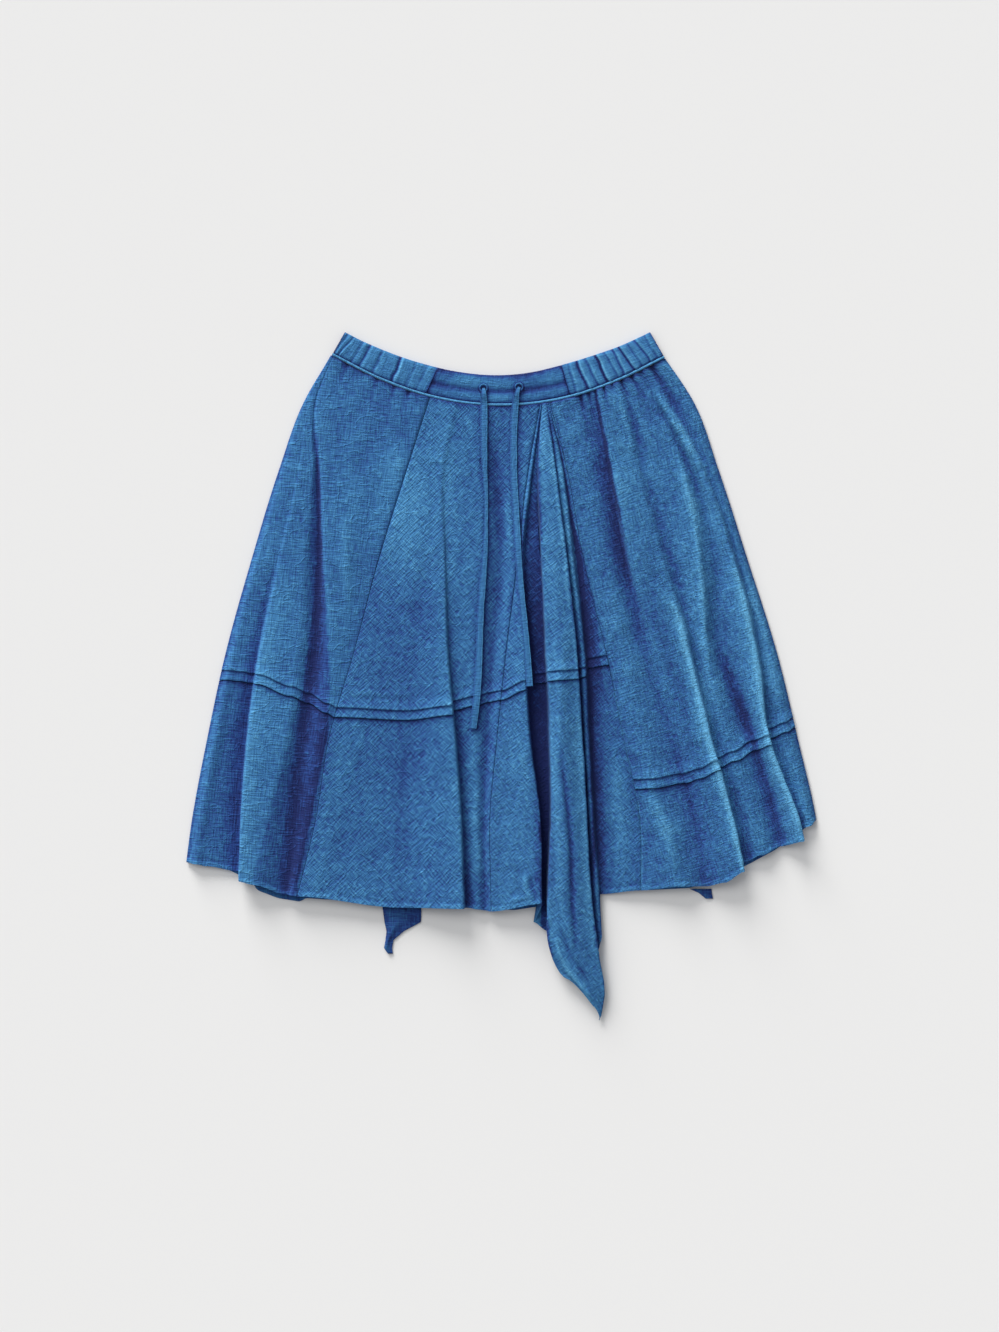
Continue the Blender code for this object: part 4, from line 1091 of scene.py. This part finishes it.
def bells(off, rows):
    # The sum of bell curves, each as much as its amount, at its place and as wide as its width.
    return sum(amount * bell(off - place, width) for amount, place, width in rows)


def flatBandRelief(across, high):
    # A broad soft tunnel with a hollow along it, fine puckers, painted shade along its stitches and top edge,
    # a pale painted line near its foot, and uneven tone.
    pucker = 0.22 * softNoise(across * 140, high * 16, 9, 41)
    pucker += 0.12 * softNoise(across * 140, high * 30, 4, 42)
    drag = 0.5 * softNoise(across * 60, high * 9, 14, 44)
    return bells(high, flatBandBells["rise"]) + pucker, bells(high, flatBandBells["lines"]) + drag - 0.1


def ruchedRelief(ruches, seed):
    # The relief of one elastic side: a function of the share across it and over its height.
    def relief(across, high):
        # A narrow hollow at each ruche and a full crest beside it, a painted dark line of shade in each and a
        # painted pale highlight beside.
        rise = 0.55 + 0.25 * softNoise(across * 105, high * 22, 7, seed)
        lines = np.full_like(rise, -0.1)
        for place, depth, lean in ruches:
            wander = 0.008 * softNoise(high * 30, high * 0 + place * 50, 8, seed + 3)
            off = across - (place + lean * (high - 0.5) + wander)
            rise += depth * bells(off, rucheBells["rise"])
            lines += depth * bells(off, rucheBells["lines"])
        return rise, lines

    return relief


def plainRelief(across, high):
    # The hidden back of the band is flat.
    return np.full_like(high, -0.02), -0.2


bandPieces = {
    "band_front": {
        "first": "flatStart", "last": "flatEnd", "columns": 200, "relief": flatBandRelief,
        "floor": band["floor"], "held": "laid", "cut": (0.146, 0.031), "area": 0.0044,
    },
    "band_elastic_left": {
        "first": "leftEnd", "last": "flatStart", "columns": 180, "relief": ruchedRelief(leftRuches, 51),
        "floor": band["floor"], "held": "gathered", "cut": (0.11, 0.029), "area": 0.0031,
    },
    "band_elastic_right": {
        "first": "flatEnd", "last": "rightEnd", "columns": 180, "relief": ruchedRelief(rightRuches, 61),
        "floor": band["floor"], "held": "gathered", "cut": (0.11, 0.032), "area": 0.0034,
    },
    "band_back": {
        "first": "leftEnd", "last": "rightEnd", "columns": 240, "relief": plainRelief,
        "floor": 0.0, "held": "laid", "cut": (0.34, 0.032), "area": 0.0108,
    },
}
for node, facts in bandPieces.items():
    bandPiece(node, facts)
print("stage: waistband")

# The piping, the eyelets and the drawstring's free ends


def runAlong(route):
    # How far along a route each of its points lies.
    return np.concatenate([[0], np.cumsum(np.linalg.norm(np.diff(route, axis=0), axis=1))])


def alongRoute(route):
    # Two directions square to a route at each of its points, the first of them level.
    way = np.gradient(route, axis=0)
    way /= np.linalg.norm(way, axis=1, keepdims=True)
    side = np.cross(way, np.array([0, 0, 1.0]))
    side /= np.linalg.norm(side, axis=1, keepdims=True)
    return side[:, None], np.cross(side, way)[:, None]


def fullTurn(count):
    # Even angles once round.
    return np.linspace(0, 2 * math.pi, count, endpoint=False)


def tubeFaces(count, sides):
    # Each ring of points joined to the next, with a flat face at both ends.
    corner = np.arange(count * sides).reshape(count, sides)
    return tubeCells(corner).tolist() + [corner[0].tolist(), corner[-1, ::-1].tolist()]


# The roll's points, how high it lies, how full it is and how far apart its stitches are, and its tone, painted
# pale all round as a highlight.
piping = {"points": 700, "sides": 12, "raised": 0.4, "full": 1.18, "stitch": 9, "tone": 0.9}


def makePiping():
    # A rolled edge whose radius swells and pinches a little, as at each stitch.
    _, route = bandEdges(np.linspace(0, len(bandOrder) - 1, piping["points"]))
    route[:, 2] = band["floor"] + cloth["piping"] / 2 + piping["raised"]
    side, up = alongRoute(route)
    run, angle = runAlong(route)[:, None], fullTurn(piping["sides"])
    stitches = 0.05 * np.sin(run * 2 * math.pi / piping["stitch"])
    radius = cloth["piping"] / 2 * (piping["full"] + stitches + 0.04 * np.sin(angle + run * 0.7))
    ring = np.cos(angle)[:, None] * side + np.sin(angle)[:, None] * up
    points = route[:, None] + radius[..., None] * ring
    grain = np.stack(np.broadcast_arrays(run, angle * radius.mean()), axis=-1)
    faces, tone = tubeFaces(piping["points"], piping["sides"]), np.full(radius.shape, piping["tone"])
    addPiece("waist_piping_roll", points, faces, grain, tone, "cordCloth", "waist_piping")


makePiping()

# The wound ring: its points, its size in millimetres, its turns of thread, and its painted highlight on the
# upper arc and painted shade.
eyelet = {
    "rings": 240, "sides": 14, "radius": 3.75, "thick": 0.72, "ripple": 0.15, "turns": 30, "flat": 0.85,
    "raised": 1.25, "inner": 3.3, "light": 0.9, "dark": 0.4,
}


def makeEyelet(node, across, down):
    # A ring wound with thread: the tube's radius ripples once for each turn of thread.
    around, tube = fullTurn(eyelet["rings"])[:, None], fullTurn(eyelet["sides"])
    ripple = np.abs(np.sin(around * eyelet["turns"] / 2 + 0.6 * np.sin(tube)))
    thick = eyelet["thick"] * (1 + eyelet["ripple"] * ripple)
    out, high = eyelet["radius"] + thick * np.cos(tube), thick * np.sin(tube) * eyelet["flat"]
    ring = np.stack([out * np.cos(around), out * np.sin(around), high], axis=-1)
    points = ring + onSheet(across, down, band["floor"] + band["wall"] + eyelet["raised"])
    corner = np.arange(thick.size).reshape(thick.shape)
    faces = tubeCells(np.vstack([corner, corner[:1]])).tolist()
    grain = np.stack(np.broadcast_arrays(around * eyelet["inner"], tube), axis=-1)
    # Painted highlight on the ring's upper half, towards the light, and painted shade over the whole ring.
    tone = eyelet["light"] * np.maximum(np.sin(around), 0) - eyelet["dark"] + 0 * tube
    addPiece(node + "_thread", points, faces, grain, tone, "cordCloth", node)


for node, (across, down) in eyelets.items():
    makeEyelet(node, across, down)
print("stage: piping and eyelets")

# The strap's section: how square its sides are, its two sunk stitch lines, a painted highlight on one rim
# and painted shade on the other.
strapForm = {
    "square": {"wide": 0.55, "thick": 0.6}, "stitch": (0.28, 2.55, 0.35), "uneven": 0.05, "lumps": 0.12,
    "sharp": 60, "tone": 0.2, "stitchTone": 1.6, "rims": [(0.6, -3.0, 0.7), (-0.5, 3.3, 0.7)],
}


def squared(value, power):
    # A wave with flattened tops: the power of its size, with its sign.
    return np.sign(value) * np.abs(value) ** power


def makeString(node, facts):
    # A flat folded strap carried along its route: a rounded oblong section with two sunk stitch lines.
    table = np.array(facts["route"], float)
    along = runAlong(table[:, :3])
    at = np.linspace(0, along[-1], strap["points"])
    across, down, height = (readSmooth(along, table[:, k], at) for k in range(3))
    route = onSheet(across, down, height)
    side, up = alongRoute(route)
    share, at, angle = np.interp(at, along, table[:, 3])[:, None], at[:, None], fullTurn(strap["sides"])
    square, (deep, place, width) = strapForm["square"], strapForm["stitch"]
    wide = squared(np.cos(angle), square["wide"]) * strap["width"] / 2
    stitch = 1 - deep * bell(np.abs(wide) - place, width)
    thick = squared(np.sin(angle), square["thick"]) * strap["thick"] / 2 * stitch
    uneven = share * (1 + strapForm["uneven"] * softNoise(at, 0 * at, 9, 71))
    lumps = share * (1 + strapForm["lumps"] * softNoise(at, wide * 2, 5, 73))
    points = route[:, None] + (wide * uneven)[..., None] * side + (thick * lumps)[..., None] * up
    grain = np.stack(np.broadcast_arrays(at, wide), axis=-1)
    # Painted highlight on one rim, painted shade on the other and in the sunk stitch lines.
    tone = strapForm["tone"] + bells(wide, strapForm["rims"]) + 0 * at
    tone = tone - strapForm["stitchTone"] * (1 - stitch)
    faces = tubeFaces(strap["points"], strap["sides"])
    piece = addPiece(node + "_strap", points, faces, grain, tone, "cordCloth", node)
    piece.data.set_sharp_from_angle(angle=math.radians(strapForm["sharp"]))


for node, facts in strings.items():
    makeString(node, facts)
print("stage: drawstring ends")
